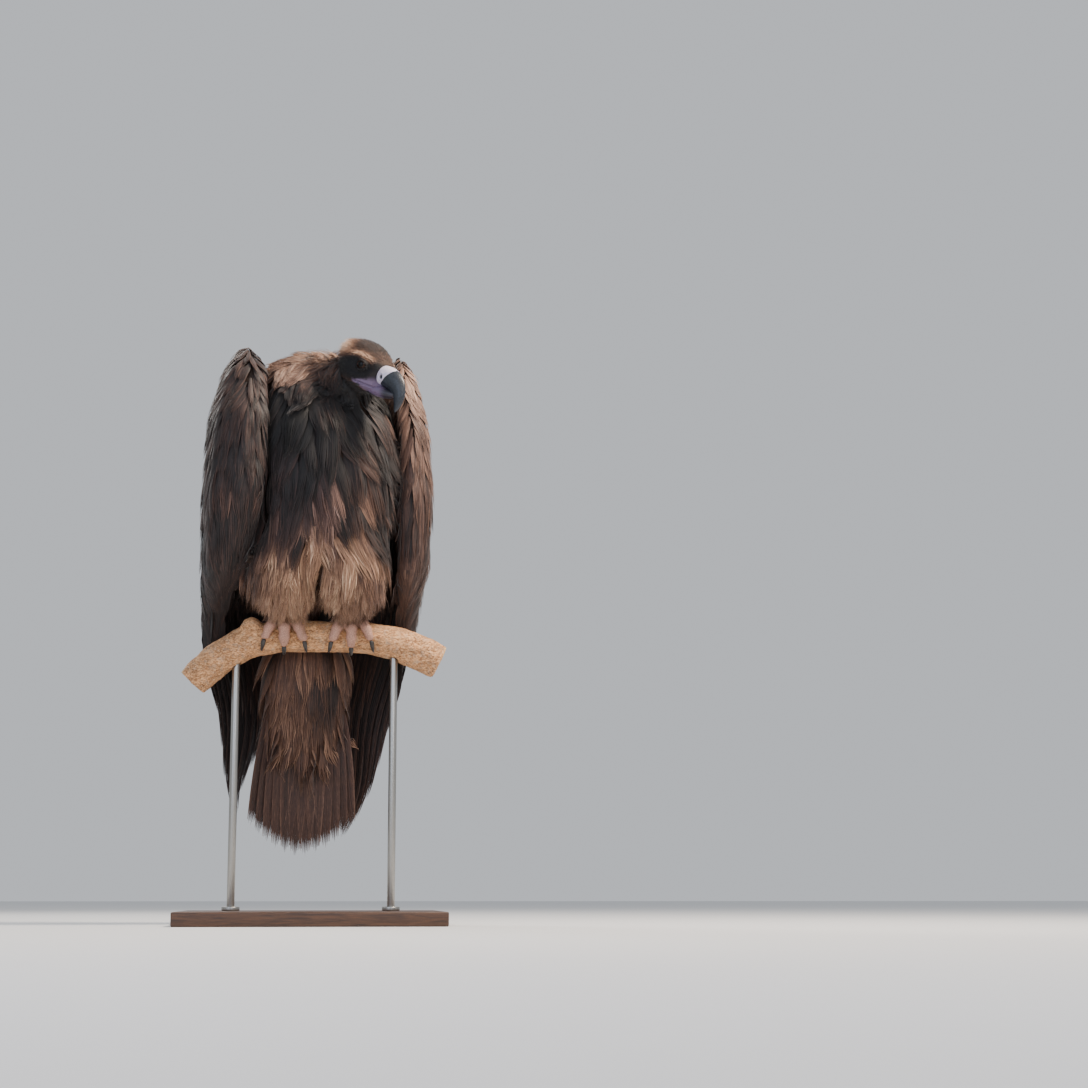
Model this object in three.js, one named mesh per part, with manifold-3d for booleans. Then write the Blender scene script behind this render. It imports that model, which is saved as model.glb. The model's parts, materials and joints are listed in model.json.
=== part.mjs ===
// A cinereous vulture at life size, perched upright on a cut length of branch on a plain display stand.
// Millimetres, +Z up, +X to the bird's own left, -Y the way its breast faces. The origin is on the floor,
// under the middle of the stand's base.
import * as THREE from "three";
import { mergeVertices } from "three/addons/utils/BufferGeometryUtils.js";
import Module from "manifold-3d";

const wasm = await Module();
wasm.setup();

// ---- Driving dimensions ----
const GAP = 0.3; // air left between two pieces that touch
const MERGE_WITHIN = 1e-3;
const SIDES = [
  { name: "left", sign: 1, footX: 62 },
  { name: "right", sign: -1, footX: -55 },
];

const BASE = { width: 450, depth: 400, thickness: 24, edge: 4 };
const PERCH = { y: 12, height: 504, radius: 28 }; // the branch's axis, where the feet hold it
const ROD = { radius: 7, sides: 14, x: 138, top: 474, intoBase: 12, collarRadius: 16, collarHeight: 7 };
const BODY_YAW = 9; // degrees that the body turns to its own left over the branch
const HEAD = { x: 81, y: -138, z: 948, yaw: 46, nod: 22, size: 1.1 };
const EYE = { radius: 9.6, x: 15, side: 29.5, z: 8.5 };
const FOOT = { toeRadius: 9.4, padRadius: 13 };
const TAIL = {
  feathers: 12,
  rootZ: 500,
  rootY: 98,
  rootHalf: 30,
  tipZ: 118,
  tipY: 146,
  fan: 11,
  wedge: 58,
  stack: 16,
  halfWidth: 23,
};

const DEG = Math.PI / 180;
const vec = (x, y, z) => new THREE.Vector3(x, y, z);
const curve = (points) => new THREE.CatmullRomCurve3(points.map((p) => vec(...p)));

// ---- Solids ----

// The geometry as a manifold solid with its faces outwards.
function solidOf(geometry) {
  const bare = geometry.index ? geometry.toNonIndexed() : geometry.clone();
  bare.deleteAttribute("normal");
  bare.deleteAttribute("uv");
  const merged = mergeVertices(bare, MERGE_WITHIN);
  const corners = new Uint32Array(merged.index.array);
  const build = () =>
    new wasm.Manifold(
      new wasm.Mesh({
        numProp: 3,
        vertProperties: new Float32Array(merged.attributes.position.array),
        triVerts: corners,
      }),
    );
  const made = build();
  if (made.volume() > 0) return made;
  for (let i = 0; i < corners.length; i += 3) {
    [corners[i + 1], corners[i + 2]] = [corners[i + 2], corners[i + 1]];
  }
  return build();
}

// The largest body of a solid, without the crumbs that a cut leaves.
function mainBody(solid) {
  const bodies = solid.decompose().sort((a, b) => b.volume() - a.volume());
  return bodies[0];
}

function geometryOf(solid) {
  const mesh = solid.getMesh();
  const places = new Float32Array((mesh.vertProperties.length / mesh.numProp) * 3);
  for (let i = 0; i < places.length / 3; i++) {
    places.set(mesh.vertProperties.subarray(i * mesh.numProp, i * mesh.numProp + 3), i * 3);
  }
  return new THREE.BufferGeometry()
    .setAttribute("position", new THREE.BufferAttribute(places, 3))
    .setIndex(new THREE.BufferAttribute(mesh.triVerts, 1));
}

const yawed = (solid) => solid.rotate([0, 0, BODY_YAW]);
const joined = (solids) => solids.reduce((all, next) => all.add(next));
const without = (solid, cutters) => cutters.reduce((left, cutter) => left.subtract(cutter), solid);
const carved = (solid, ...cutters) => mainBody(without(solid, cutters));

// Rows crowd together towards both ends of a loft, so that its ends come out round.
const easedRow = (row) => (1 - Math.cos(Math.PI * row)) / 2;

// A closed skin from a sphere: its rows become rings, and pointAt(along, turn) places each ring's points.
function loft(pointAt, around, along) {
  const skin = new THREE.SphereGeometry(1, around, along);
  const place = skin.getAttribute("position");
  const uv = skin.getAttribute("uv");
  for (let i = 0; i < place.count; i++) {
    const row = 1 - uv.getY(i);
    const onPole = row < MERGE_WITHIN || row > 1 - MERGE_WITHIN;
    const turn = onPole ? 0 : (uv.getX(i) % 1) * 2 * Math.PI;
    const p = pointAt(easedRow(row), turn);
    place.setXYZ(i, p.x, p.y, p.z);
  }
  return skin;
}

// How full a ring is near a loft's ends: 0 at the very end, 1 once past the share that end takes.
function endFullness(along, startShare, endShare) {
  const bow = (share) => (share >= 1 ? 1 : Math.sqrt(Math.max(0, 1 - (1 - share) ** 2)));
  return bow(along / startShare) * bow((1 - along) / endShare);
}

// A rounded body along a line. Each station is [x, y, z, half width, reach to the front or top, reach to the
// back or underside].
function bodyLoft(stations, { across, around, along, grow = 0, square = 1, ends = [0.08, 0.08] }) {
  const line = curve(stations.map((s) => s.slice(0, 3)));
  const sizes = curve(stations.map((s) => s.slice(3, 6)));
  const pointAt = (at, turn) => {
    const full = endFullness(at, ...ends);
    const middle = line.getPoint(at);
    const size = sizes.getPoint(at);
    const side = across.clone().normalize();
    const out = line.getTangent(at).cross(side).normalize();
    const lobe = (value) => Math.sign(value) * Math.abs(value) ** square;
    const wide = (size.x + grow) * full * lobe(Math.cos(turn));
    const reach = (Math.sin(turn) > 0 ? size.y : size.z) + grow;
    const deep = reach * full * lobe(Math.sin(turn));
    return middle.addScaledVector(side, wide).addScaledVector(out, deep);
  };
  return solidOf(loft(pointAt, around, along));
}

// A round tube along points [x, y, z, radius], closed at both ends.
const tube = (points, around, along, across, grow = 0, ends = [0.06, 0.06]) =>
  bodyLoft(
    points.map(([x, y, z, radius]) => [x, y, z, radius, radius, radius]),
    { across, around, along, grow, ends },
  );

// A cube of the side given, tilted about X, then moved to its centre.
function cubeSolid(side, centre, tilt = 0) {
  const cube = new THREE.BoxGeometry(side, side, side);
  cube.rotateX(tilt * DEG);
  cube.translate(...centre);
  return solidOf(cube);
}

function cylinderSolid(radius, bottom, top, x, y, sides) {
  const rod = new THREE.CylinderGeometry(radius, radius, top - bottom, sides);
  rod.rotateX(Math.PI / 2);
  rod.translate(x, y, (top + bottom) / 2);
  return solidOf(rod);
}

// ---- Materials ----
const finish = (color, roughness, metalness = 0) =>
  new THREE.MeshStandardMaterial({ color, roughness, metalness });
const FINISH = {
  plumage: finish(0x3b2a22, 0.85),
  flight: finish(0x1d1716, 0.7),
  trousers: finish(0x7a5a44, 0.9),
  down: finish(0x4a3428, 0.95),
  cere: finish(0xb9b4c6, 0.5),
  horn: finish(0x26262b, 0.35),
  eye: finish(0x1a0f0a, 0.1),
  leg: finish(0xc3b3ae, 0.6),
  bark: finish(0xb98d63, 0.9),
  wood: finish(0x4a3325, 0.5),
  steel: finish(0x8a8a88, 0.35, 1),
};

const vulture = new THREE.Group();

function addNode(name, solid, material, group = vulture) {
  const mesh = new THREE.Mesh(geometryOf(solid), material);
  mesh.name = name;
  group.add(mesh);
  return mesh;
}

// ---- Trunk ----
const X_AXIS = vec(1, 0, 0);
const TRUNK = [
  [-18, -20, 984, 98, 50, 54],
  [-6, -36, 926, 116, 88, 92],
  [0, -38, 860, 128, 122, 106],
  [2, -34, 780, 132, 126, 110],
  [2, -20, 706, 130, 114, 112],
  [2, 10, 644, 116, 84, 98],
  [0, 60, 590, 84, 50, 66],
  [0, 90, 540, 46, 32, 46],
  [0, 100, 500, 34, 24, 34],
];
const TRUNK_LOFT = { across: X_AXIS, around: 16, along: 12, square: 0.94, ends: [0.08, 0.06] };
const trunk = (grow = 0) => yawed(bodyLoft(TRUNK, { ...TRUNK_LOFT, grow }));

// ---- Neck and its ruff ----
const NECK = [
  [-30, -20, 915, 46],
  [0, -52, 924, 50],
  [30, -88, 932, 47],
  [56, -116, 940, 44],
  [74, -130, 945, 40],
];
const neck = (grow = 0) => tube(NECK, 12, 7, vec(0.7, 0.7, 0), grow, [0.2, 0.12]);

const RUFF = { x: -12, y: -56, z: 945, wide: 104, deep: 62, tall: 60, turn: -26, tip: 20 };
function ruff(grow = 0) {
  const collar = new THREE.SphereGeometry(1, 14, 9);
  collar.scale(RUFF.wide + grow, RUFF.deep + grow, RUFF.tall + grow);
  collar.rotateX(RUFF.tip * DEG);
  collar.rotateZ(RUFF.turn * DEG);
  collar.translate(RUFF.x, RUFF.y, RUFF.z);
  return solidOf(collar);
}

// ---- Head, in its own frame: +X along the bill, +Y to the bird's left, +Z over the crown ----
const Y_AXIS = vec(0, 1, 0);
const SKULL = [
  [-50, 0, 2, 22, 22, 20],
  [-34, 0, 3, 36, 42, 32],
  [-10, 0, 2, 41, 49, 38],
  [12, 0, 1, 38, 45, 37],
  [31, 0, -1, 28, 31, 31],
  [45, 0, -3, 18, 21, 25],
];
const skull = (grow = 0) =>
  bodyLoft(SKULL, { across: Y_AXIS, around: 14, along: 10, grow, square: 0.95, ends: [0.16, 0.1] });

const UPPER_BILL = [
  [34, 0, 2, 17, 19, 17],
  [48, 0, 3, 16, 19, 17],
  [61, 0, 1, 13.5, 17.5, 16],
  [73, 0, -7, 10.5, 13.5, 14],
  [81.5, 0, -19, 7.4, 8.4, 10],
  [84, 0, -32, 4.2, 4.8, 6],
  [82, 0, -45, 1.1, 1.2, 1.4],
];
const upperBill = (grow = 0) =>
  bodyLoft(UPPER_BILL, { across: Y_AXIS, around: 12, along: 12, grow, square: 0.9, ends: [0.05, 0.04] });

const LOWER_BILL = [
  [16, 0, -20, 18.5, 7, 8],
  [36, 0, -21.5, 15.5, 6.5, 9],
  [54, 0, -23.5, 12, 6, 9],
  [67, 0, -25, 8, 4.5, 7],
  [75, 0, -25, 4.5, 2.4, 3.6],
];
const lowerBill = (grow = 0) =>
  bodyLoft(LOWER_BILL, { across: Y_AXIS, around: 12, along: 8, grow, square: 0.95, ends: [0.06, 0.1] });

const CERE_END = { x: 57, tilt: -14 }; // where the soft cere meets the horn of the bill, and how it slants
const BILL_REACH = 200;

function eyeball(sign, grow = 0) {
  const ball = new THREE.SphereGeometry(EYE.radius + grow, 10, 7);
  ball.translate(EYE.x, sign * EYE.side, EYE.z);
  return solidOf(ball);
}

const headGroup = new THREE.Group();
headGroup.position.set(HEAD.x, HEAD.y, HEAD.z);
headGroup.rotation.set(0, HEAD.nod * DEG, (HEAD.yaw - 90) * DEG, "ZYX");
headGroup.scale.setScalar(HEAD.size);
headGroup.updateMatrixWorld(true);
const inWorld = (solid) => solidOf(geometryOf(solid).applyMatrix4(headGroup.matrixWorld));

// Everything behind the slanting level where the cere ends, moved on by shift.
function cereSide(shift) {
  const block = new THREE.BoxGeometry(BILL_REACH, BILL_REACH, BILL_REACH);
  block.translate(-BILL_REACH / 2, 0, 0);
  block.rotateY(CERE_END.tilt * DEG);
  block.translate(CERE_END.x + shift, 0, 0);
  return solidOf(block);
}

function buildHead() {
  const faceEyes = SIDES.map((side) => eyeball(side.sign, GAP));
  const bill = upperBill();
  const addToHead = (name, solid, material) => addNode(name, solid, material, headGroup);
  addToHead("head", carved(skull(), ...faceEyes), FINISH.down);
  addToHead("cere", carved(bill.intersect(cereSide(0)), skull(GAP)), FINISH.cere);
  addToHead("bill_upper", carved(bill, cereSide(GAP)), FINISH.horn);
  addToHead("bill_lower", carved(lowerBill(), upperBill(GAP), skull(GAP)), FINISH.cere);
  SIDES.forEach((side) => addToHead(`eye_${side.name}`, eyeball(side.sign), FINISH.eye));
}

// ---- Wings ----
// At each level the wing is a Bezier arc round the body, from the leading edge over two points that shape
// its outer side to the trailing edge by the spine. Levels run from the wrist down to the tip; each point is
// [x, y] on the bird's left and is mirrored for its right. Half is the arm's half thickness there.
const WING_LEVELS = [
  { z: 966, lead: [98, -66], front: [126, -100], back: [132, -24], trail: [50, 14], half: 24 },
  { z: 879, lead: [108, -122], front: [160, -150], back: [196, -2], trail: [18, 78], half: 26 },
  { z: 739, lead: [112, -118], front: [192, -146], back: [234, 30], trail: [4, 112], half: 22 },
  { z: 620, lead: [130, -62], front: [200, -92], back: [240, 60], trail: [2, 136], half: 15 },
  { z: 545, lead: [134, 36], front: [200, 20], back: [238, 94], trail: [2, 148], half: 12 },
  { z: 465, lead: [122, 82], front: [188, 66], back: [230, 118], trail: [12, 160], half: 10 },
  { z: 350, lead: [108, 110], front: [168, 98], back: [210, 140], trail: [44, 170], half: 7 },
  { z: 250, lead: [90, 138], front: [142, 128], back: [180, 160], trail: [64, 176], half: 5 },
  { z: 170, lead: [78, 158], front: [110, 152], back: [142, 172], trail: [76, 180], half: 3.6 },
];
// How far each level's points move [outwards, back, up]. The left wrist is held up and back behind the head,
// and the left tip crosses in behind the tail. The right wing sits wider and passes well behind the branch.
const TIP_CROSSING = [
  [-2, 0, -4],
  [-18, 6, -22],
  [-52, 12, -40],
];
const LEFT_SHIFT = {
  lead: [[14, 30, 50], [22, 42, 4], [20, 34, 0], [6, 10, 0], [0, 0, 0], [-4, 0, 0], ...TIP_CROSSING],
  front: [[18, 28, 54], [9, 30, 4], [-2, 20, 0], [-6, 6, 0], [0, 0, 0], [-4, 0, 0], ...TIP_CROSSING],
  back: [[18, -6, 54], [4, 0, 4], [-6, 0, 0], [-6, 0, 0], [0, 0, 0], [0, 0, 0], ...TIP_CROSSING],
};
LEFT_SHIFT.trail = LEFT_SHIFT.back.map((shift, level) => (level < 6 ? [0, 0, 0] : shift));
const RIGHT_FRONT = [
  [30, 0, 44],
  [38, 0, 8],
  [22, 0, 0],
  [10, 6, 0],
  [0, 22, 0],
  [-4, 26, 0],
  [-6, 12, 0],
  [-10, 0, 0],
  [-14, 0, 0],
];
const RIGHT_SHIFT = {
  lead: RIGHT_FRONT.map(([, back, up]) => [0, back, up]),
  front: RIGHT_FRONT,
  back: RIGHT_FRONT,
  trail: RIGHT_FRONT.map(() => [0, 0, 0]),
};
const WING_BULGE = 1.9; // how much thicker than its stated half thickness an arm is by its leading edge
const VANE_HALF = 1.2; // what the feathers add to every part of the wing
const WING_CENTRE = 0.45; // the share of the way across where the wing's two ends close

// One of the wing's four lines, from the wrist to the tip.
function wingLine(name, sign) {
  const shifts = sign > 0 ? LEFT_SHIFT[name] : RIGHT_SHIFT[name];
  const points = WING_LEVELS.map((level, i) => {
    const [x, y] = level[name];
    const [outwards, back, up] = shifts[i];
    return [sign * (x + outwards), y + back, level.z + up];
  });
  return curve(points);
}

// A wing's middle surface, its outward normal and its half thickness, by shares of the way down and across.
function wingShape(sign) {
  const lines = ["lead", "front", "back", "trail"].map((name) => wingLine(name, sign));
  const halves = curve(WING_LEVELS.map((level) => [level.half, 0, 0]));
  const arcAt = (along) => new THREE.CubicBezierCurve3(...lines.map((line) => line.getPoint(along)));
  const middle = (along, across) => arcAt(along).getPoint(across);
  const step = 0.004;
  const normal = (along, across) => {
    const lower = Math.min(1, along + step);
    const down = middle(lower, across).sub(middle(lower - step, across));
    return down.cross(arcAt(along).getTangent(across)).normalize().multiplyScalar(sign);
  };
  const thickness = (along, across) => {
    const arm = halves.getPoint(along).x * WING_BULGE * Math.sqrt(across) * (1 - across) ** 0.75;
    return arm + VANE_HALF * Math.sin(Math.PI * across);
  };
  return { middle, normal, thickness };
}

function wingLoft(shape) {
  const pointAt = (along, turn) => {
    const full = endFullness(along, 0.09, 0.2);
    const across = (1 - Math.cos(turn)) / 2;
    const held = WING_CENTRE + (across - WING_CENTRE) * full;
    const half = shape.thickness(along, across) * full;
    const out = shape.normal(along, held).multiplyScalar(Math.sin(turn) >= 0 ? half : -half);
    return shape.middle(along, held).add(out);
  };
  return solidOf(loft(pointAt, 16, 12));
}

// The long primaries' tips stand out of the wing's end one by one, as thin blades in its middle surface.
const PRIMARY = { count: 6, halfWidth: 16, halfThickness: 2.6, start: 0.8, end: 0.99, stations: 4 };

function primaryTip(shape, index) {
  const end = PRIMARY.end - 0.022 * Math.abs(index - 2);
  const acrossStart = 0.18 + 0.13 * index;
  const drift = 0.02 * (2.5 - index);
  const drop = 16 - 2.5 * index;
  const stations = Array.from({ length: PRIMARY.stations }, (_, i) => {
    const share = i / (PRIMARY.stations - 1);
    const along = Math.min(1, PRIMARY.start + (end - PRIMARY.start) * share);
    const place = shape.middle(along, acrossStart + drift * share);
    const wide = PRIMARY.halfWidth * (1 - 0.35 * share ** 3);
    const thick = PRIMARY.halfThickness;
    return [place.x, place.y, place.z - drop * share ** 3, wide, thick, thick];
  });
  const next = shape.middle(PRIMARY.start, acrossStart + 0.05);
  const across = next.sub(shape.middle(PRIMARY.start, acrossStart - 0.05));
  return bodyLoft(stations, { across, around: 4, along: 3, ends: [0.1, 0.34] });
}

const ARM_CUT = { z: 590, tilt: -12 }; // under this slanting level the wing is all flight feathers
const SECONDARIES = { y: 98, bottom: 338, tilt: 7 }; // behind and above these they are secondaries
const FAR = 900; // the side of the blocks that part the wing

const overArmCut = (shift) => yawed(cubeSolid(FAR, [0, 0, ARM_CUT.z + shift + FAR / 2], ARM_CUT.tilt));
const secondaryRegion = (grow) => {
  const centre = [0, SECONDARIES.y - grow + FAR / 2, SECONDARIES.bottom - grow + FAR / 2];
  return yawed(cubeSolid(FAR, centre, SECONDARIES.tilt));
};

function buildWings(bodyCutters) {
  SIDES.forEach((side) => {
    const shape = wingShape(side.sign);
    const tips = Array.from({ length: PRIMARY.count }, (_, i) => primaryTip(shape, i));
    const ownSide = cubeSolid(2 * FAR, [side.sign * (FAR + GAP), 0, FAR]);
    const whole = yawed(joined([wingLoft(shape), ...tips]).intersect(ownSide));
    const wing = without(whole, bodyCutters);
    const flight = wing.subtract(overArmCut(-GAP));
    const secondaries = flight.intersect(secondaryRegion(0));
    const primaries = flight.subtract(secondaryRegion(GAP));
    addNode(`wing_arm_${side.name}`, mainBody(wing.intersect(overArmCut(0))), FINISH.plumage);
    addNode(`wing_secondaries_${side.name}`, mainBody(secondaries), FINISH.flight);
    addNode(`wing_primaries_${side.name}`, mainBody(primaries), FINISH.flight);
  });
}

// ---- Tail ----
const VANE_THICK = 2.4; // half the thickness of a tail feather
const tailSlope = (TAIL.tipY - TAIL.rootY) / (TAIL.rootZ - TAIL.tipZ);

// The rectrices lie in a shallow stack, the middle pair at the back and the outer ones before it, in a wedge.
function rectrix(index, grow = 0) {
  const half = (TAIL.feathers - 1) / 2;
  const out = (index - half) / half;
  const angle = out * TAIL.fan * DEG;
  const length = TAIL.rootZ - TAIL.tipZ - TAIL.wedge * Math.abs(out) ** 1.4;
  const stations = [0, 0.35, 0.7, 1].map((share) => {
    const down = length * share;
    const x = out * TAIL.rootHalf + Math.sin(angle) * down;
    const y = TAIL.rootY + tailSlope * down - TAIL.stack * Math.abs(out);
    return [x, y, TAIL.rootZ - down * Math.cos(angle), TAIL.halfWidth, VANE_THICK, VANE_THICK];
  });
  const across = vec(1, 0, Math.tan(angle));
  return bodyLoft(stations, { across, around: 4, along: 4, grow, ends: [0.1, 0.3] });
}
const tailFan = () => yawed(joined(Array.from({ length: TAIL.feathers }, (_, i) => rectrix(i))));

// A plain slab that holds the whole fan, to clear the wings off it.
function tailRoom() {
  const spread = Math.sin(TAIL.fan * DEG);
  const stations = [0, 0.5, 1].map((share) => {
    const down = share * (TAIL.rootZ - TAIL.tipZ);
    const wide = TAIL.rootHalf + TAIL.halfWidth + spread * down + 4;
    return [0, TAIL.rootY + tailSlope * down - TAIL.stack / 2, TAIL.rootZ - down, wide, 13, 13];
  });
  return yawed(bodyLoft(stations, { across: X_AXIS, around: 10, along: 5, square: 0.4, ends: [0.02, 0.02] }));
}

const TAIL_COVERTS = [
  [0, 86, 530, 56, 30, 26],
  [0, 88, 470, 74, 30, 24],
  [0, 98, 400, 76, 26, 18],
  [0, 110, 322, 60, 18, 12],
];
const tailCoverts = (grow = 0) =>
  yawed(bodyLoft(TAIL_COVERTS, { across: X_AXIS, around: 14, along: 9, grow, ends: [0.14, 0.16] }));

// ---- Legs ----
// Stations of a thigh stand this far over the branch's axis, from the hip down to the feathering's end.
function thigh({ sign, footX }, grow = 0) {
  const stations = [
    [sign * 62, -34, PERCH.height + 204, 42, 46, 46],
    [sign * 62, -48, PERCH.height + 162, 56, 60, 56],
    [sign * 61, -50, PERCH.height + 112, 59, 60, 58],
    [footX * 0.98, -32, PERCH.height + 76, 53, 50, 52],
    [footX, -10, PERCH.height + 50, 40, 36, 38],
  ];
  return bodyLoft(stations, { across: X_AXIS, around: 12, along: 8, grow, ends: [0.2, 0.16] });
}

function shank({ sign, footX }, grow = 0) {
  const top = PERCH.height + PERCH.radius + FOOT.padRadius;
  const line = [
    [footX, PERCH.y + 1, top + 2, 12],
    [footX + sign * 1, PERCH.y - 4, top + 18, 11],
    [footX + sign * 2, PERCH.y - 12, top + 36, 12],
  ];
  return tube(line, 10, 6, X_AXIS, grow, [0.12, 0.16]);
}

// Toes run over the branch: each goes from the pad, round the branch by an arc, and out to its own side.
const TOES = [
  { name: "inner", heading: 1, arc: [20, 112], spread: 24, start: 11, radius: 1 },
  { name: "middle", heading: 1, arc: [20, 128], spread: 0, start: 0, radius: 1 },
  { name: "outer", heading: 1, arc: [20, 108], spread: 24, start: 11, radius: 0.94 },
  { name: "hind", heading: -1, arc: [22, 96], spread: 5, start: 0, radius: 0.96 },
];
const KNUCKLES = 5;
const TOE_CLEAR = 1.8; // air between a toe and the branch's stated radius
const CLAW = { arc: 46, radii: [5.2, 4.6, 3, 0.9], bow: 5.5 };
const outwardOf = (toeShape, side) => (toeShape.name === "outer" ? side.sign : -side.sign);

// The point at an angle round the branch, on a given ring, so many millimetres along it from the foot.
function roundBranch(footX, angle, ring, along) {
  const forwards = Math.sin(angle * DEG) * ring;
  return [footX + along, PERCH.y - forwards, PERCH.height + Math.cos(angle * DEG) * ring];
}

function toe(toeShape, side, grow = 0) {
  const { heading, arc, spread, start } = toeShape;
  const points = Array.from({ length: KNUCKLES }, (_, i) => {
    const share = i / (KNUCKLES - 1);
    const radius = FOOT.toeRadius * toeShape.radius * (1 - 0.24 * share);
    const ring = PERCH.radius + radius + TOE_CLEAR + 1.5 * (1 - share);
    const angle = heading * (arc[0] + (arc[1] - arc[0]) * share);
    const along = outwardOf(toeShape, side) * (start + spread * share);
    return [...roundBranch(side.footX, angle, ring, along), radius];
  });
  return tube(points, 8, 6, X_AXIS, grow, [0.1, 0.16]);
}

function claw(toeShape, side) {
  const { heading, arc, spread, start } = toeShape;
  const points = CLAW.radii.map((radius, i) => {
    const share = i / (CLAW.radii.length - 1);
    const ring = PERCH.radius + radius + 1 + CLAW.bow * Math.sin(Math.PI * (0.15 + 0.6 * share));
    const angle = heading * (arc[1] - 4 + CLAW.arc * share);
    const along = outwardOf(toeShape, side) * (start + spread * (1 + 0.2 * share));
    return [...roundBranch(side.footX, angle, ring, along), radius];
  });
  return tube(points, 6, 5, X_AXIS, 0, [0.1, 0.06]);
}

function footPad({ footX }) {
  const pad = new THREE.SphereGeometry(1, 8, 6);
  pad.scale(19, 17, FOOT.padRadius - 2);
  pad.translate(footX, PERCH.y, PERCH.height + PERCH.radius + FOOT.padRadius - 1);
  return solidOf(pad);
}

function buildLeg(side) {
  const branchRoom = branchSolid(GAP);
  const shankRoom = shank(side, GAP);
  const toeRooms = TOES.map((toeShape) => toe(toeShape, side, GAP));
  addNode(`thigh_${side.name}`, thigh(side), FINISH.trousers);
  addNode(`shank_${side.name}`, carved(shank(side), thigh(side, GAP)), FINISH.leg);
  const pad = carved(footPad(side), shankRoom, ...toeRooms, branchRoom);
  addNode(`foot_${side.name}`, pad, FINISH.leg);
  TOES.forEach((toeShape, i) => {
    const digit = carved(toe(toeShape, side), shankRoom, ...toeRooms.slice(0, i), branchRoom);
    const nail = carved(claw(toeShape, side), toeRooms[i], branchRoom);
    addNode(`toe_${toeShape.name}_${side.name}`, digit, FINISH.leg);
    addNode(`claw_${toeShape.name}_${side.name}`, nail, FINISH.horn);
  });
}

// ---- Perch and stand ----
// Each station of the branch is [x, y, z, radius] from the point under the bird.
const BRANCH = [
  [-222, 6, -94, 29],
  [-188, 4, -58, 30],
  [-138, 1, -19, 31],
  [-84, 0, -2, 30],
  [-20, 0, 0, PERCH.radius],
  [50, 0, 0, PERCH.radius],
  [112, 1, -3, 29],
  [172, 4, -20, 32],
  [230, 8, -48, 33],
].map(([x, y, z, radius]) => [x, PERCH.y + y, PERCH.height + z, radius]);
const KNOB = { x: -112, y: -2, z: PERCH.height + 12, radius: 21, squash: 0.86 };
const SAW = { cut: 12, width: 140 }; // what the saw takes off each round end, and the block that does it

function branchSolid(grow = 0) {
  const knob = new THREE.SphereGeometry(KNOB.radius + grow, 8, 5);
  knob.scale(1, KNOB.squash, 1);
  knob.translate(KNOB.x, KNOB.y, KNOB.z);
  return tube(BRANCH, 12, 11, Y_AXIS, grow, [0.03, 0.03]).add(solidOf(knob));
}

function sawnEnd(from, to) {
  const end = vec(...to.slice(0, 3));
  const way = end.clone().sub(vec(...from.slice(0, 3))).normalize();
  const block = new THREE.BoxGeometry(SAW.width, SAW.width, SAW.width);
  block.translate(SAW.width / 2 - SAW.cut, 0, 0);
  block.applyQuaternion(new THREE.Quaternion().setFromUnitVectors(X_AXIS, way));
  block.translate(end.x, end.y, end.z);
  return solidOf(block);
}

// The base is a slab with its edges softened all round.
function baseSlab() {
  const half = { x: BASE.width / 2 - BASE.edge, y: BASE.depth / 2 - BASE.edge };
  const outline = new THREE.Shape();
  outline.moveTo(-half.x, -half.y);
  outline.lineTo(half.x, -half.y);
  outline.lineTo(half.x, half.y);
  outline.lineTo(-half.x, half.y);
  outline.closePath();
  const slab = new THREE.ExtrudeGeometry(outline, {
    depth: BASE.thickness - 2 * BASE.edge,
    bevelEnabled: true,
    bevelThickness: BASE.edge,
    bevelSize: BASE.edge,
    bevelSegments: 2,
  });
  slab.translate(0, 0, BASE.edge);
  return solidOf(slab);
}

function buildStand() {
  const bottom = BASE.thickness - ROD.intoBase;
  const rod = (side, grow) =>
    cylinderSolid(ROD.radius + grow, bottom - grow, ROD.top + grow, side.sign * ROD.x, PERCH.y, ROD.sides);
  const rodRooms = SIDES.map((side) => rod(side, GAP));
  addNode("stand_base", carved(baseSlab(), ...rodRooms), FINISH.wood);
  SIDES.forEach((side, i) => {
    const foot = BASE.thickness + GAP;
    const x = side.sign * ROD.x;
    const collar = cylinderSolid(ROD.collarRadius, foot, foot + ROD.collarHeight, x, PERCH.y, ROD.sides);
    addNode(`stand_rod_${side.name}`, rod(side, 0), FINISH.steel);
    addNode(`stand_collar_${side.name}`, collar.subtract(rodRooms[i]), FINISH.steel);
  });
  const ends = [sawnEnd(BRANCH[1], BRANCH[0]), sawnEnd(BRANCH.at(-2), BRANCH.at(-1))];
  addNode("perch_branch", carved(branchSolid(), ...ends, ...rodRooms), FINISH.bark);
}

// ---- The whole bird ----
function buildBird() {
  const headRoom = inWorld(skull(GAP / HEAD.size));
  const chinRoom = inWorld(lowerBill(GAP / HEAD.size));
  const thighRooms = SIDES.map((side) => thigh(side, GAP));
  const shankRooms = SIDES.map((side) => shank(side, GAP));
  const trunkRoom = trunk(GAP);
  const tailRooms = [tailCoverts(GAP), tailRoom()];
  addNode("trunk", carved(trunk(), headRoom, ...thighRooms, ...shankRooms, tailRooms[0]), FINISH.plumage);
  addNode("ruff", carved(ruff(), trunkRoom, headRoom), FINISH.plumage);
  addNode("neck", carved(neck(), trunkRoom, ruff(GAP), headRoom, chinRoom), FINISH.down);
  addNode("tail_coverts", carved(tailCoverts(), branchSolid(GAP)), FINISH.plumage);
  addNode("tail_feathers", carved(tailFan(), tailRooms[0]), FINISH.flight);
  buildWings([trunkRoom, neck(GAP), ruff(GAP), ...thighRooms, ...tailRooms]);
}

buildStand();
SIDES.forEach(buildLeg);
buildHead();
vulture.add(headGroup);
buildBird();

export default vulture;
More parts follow.
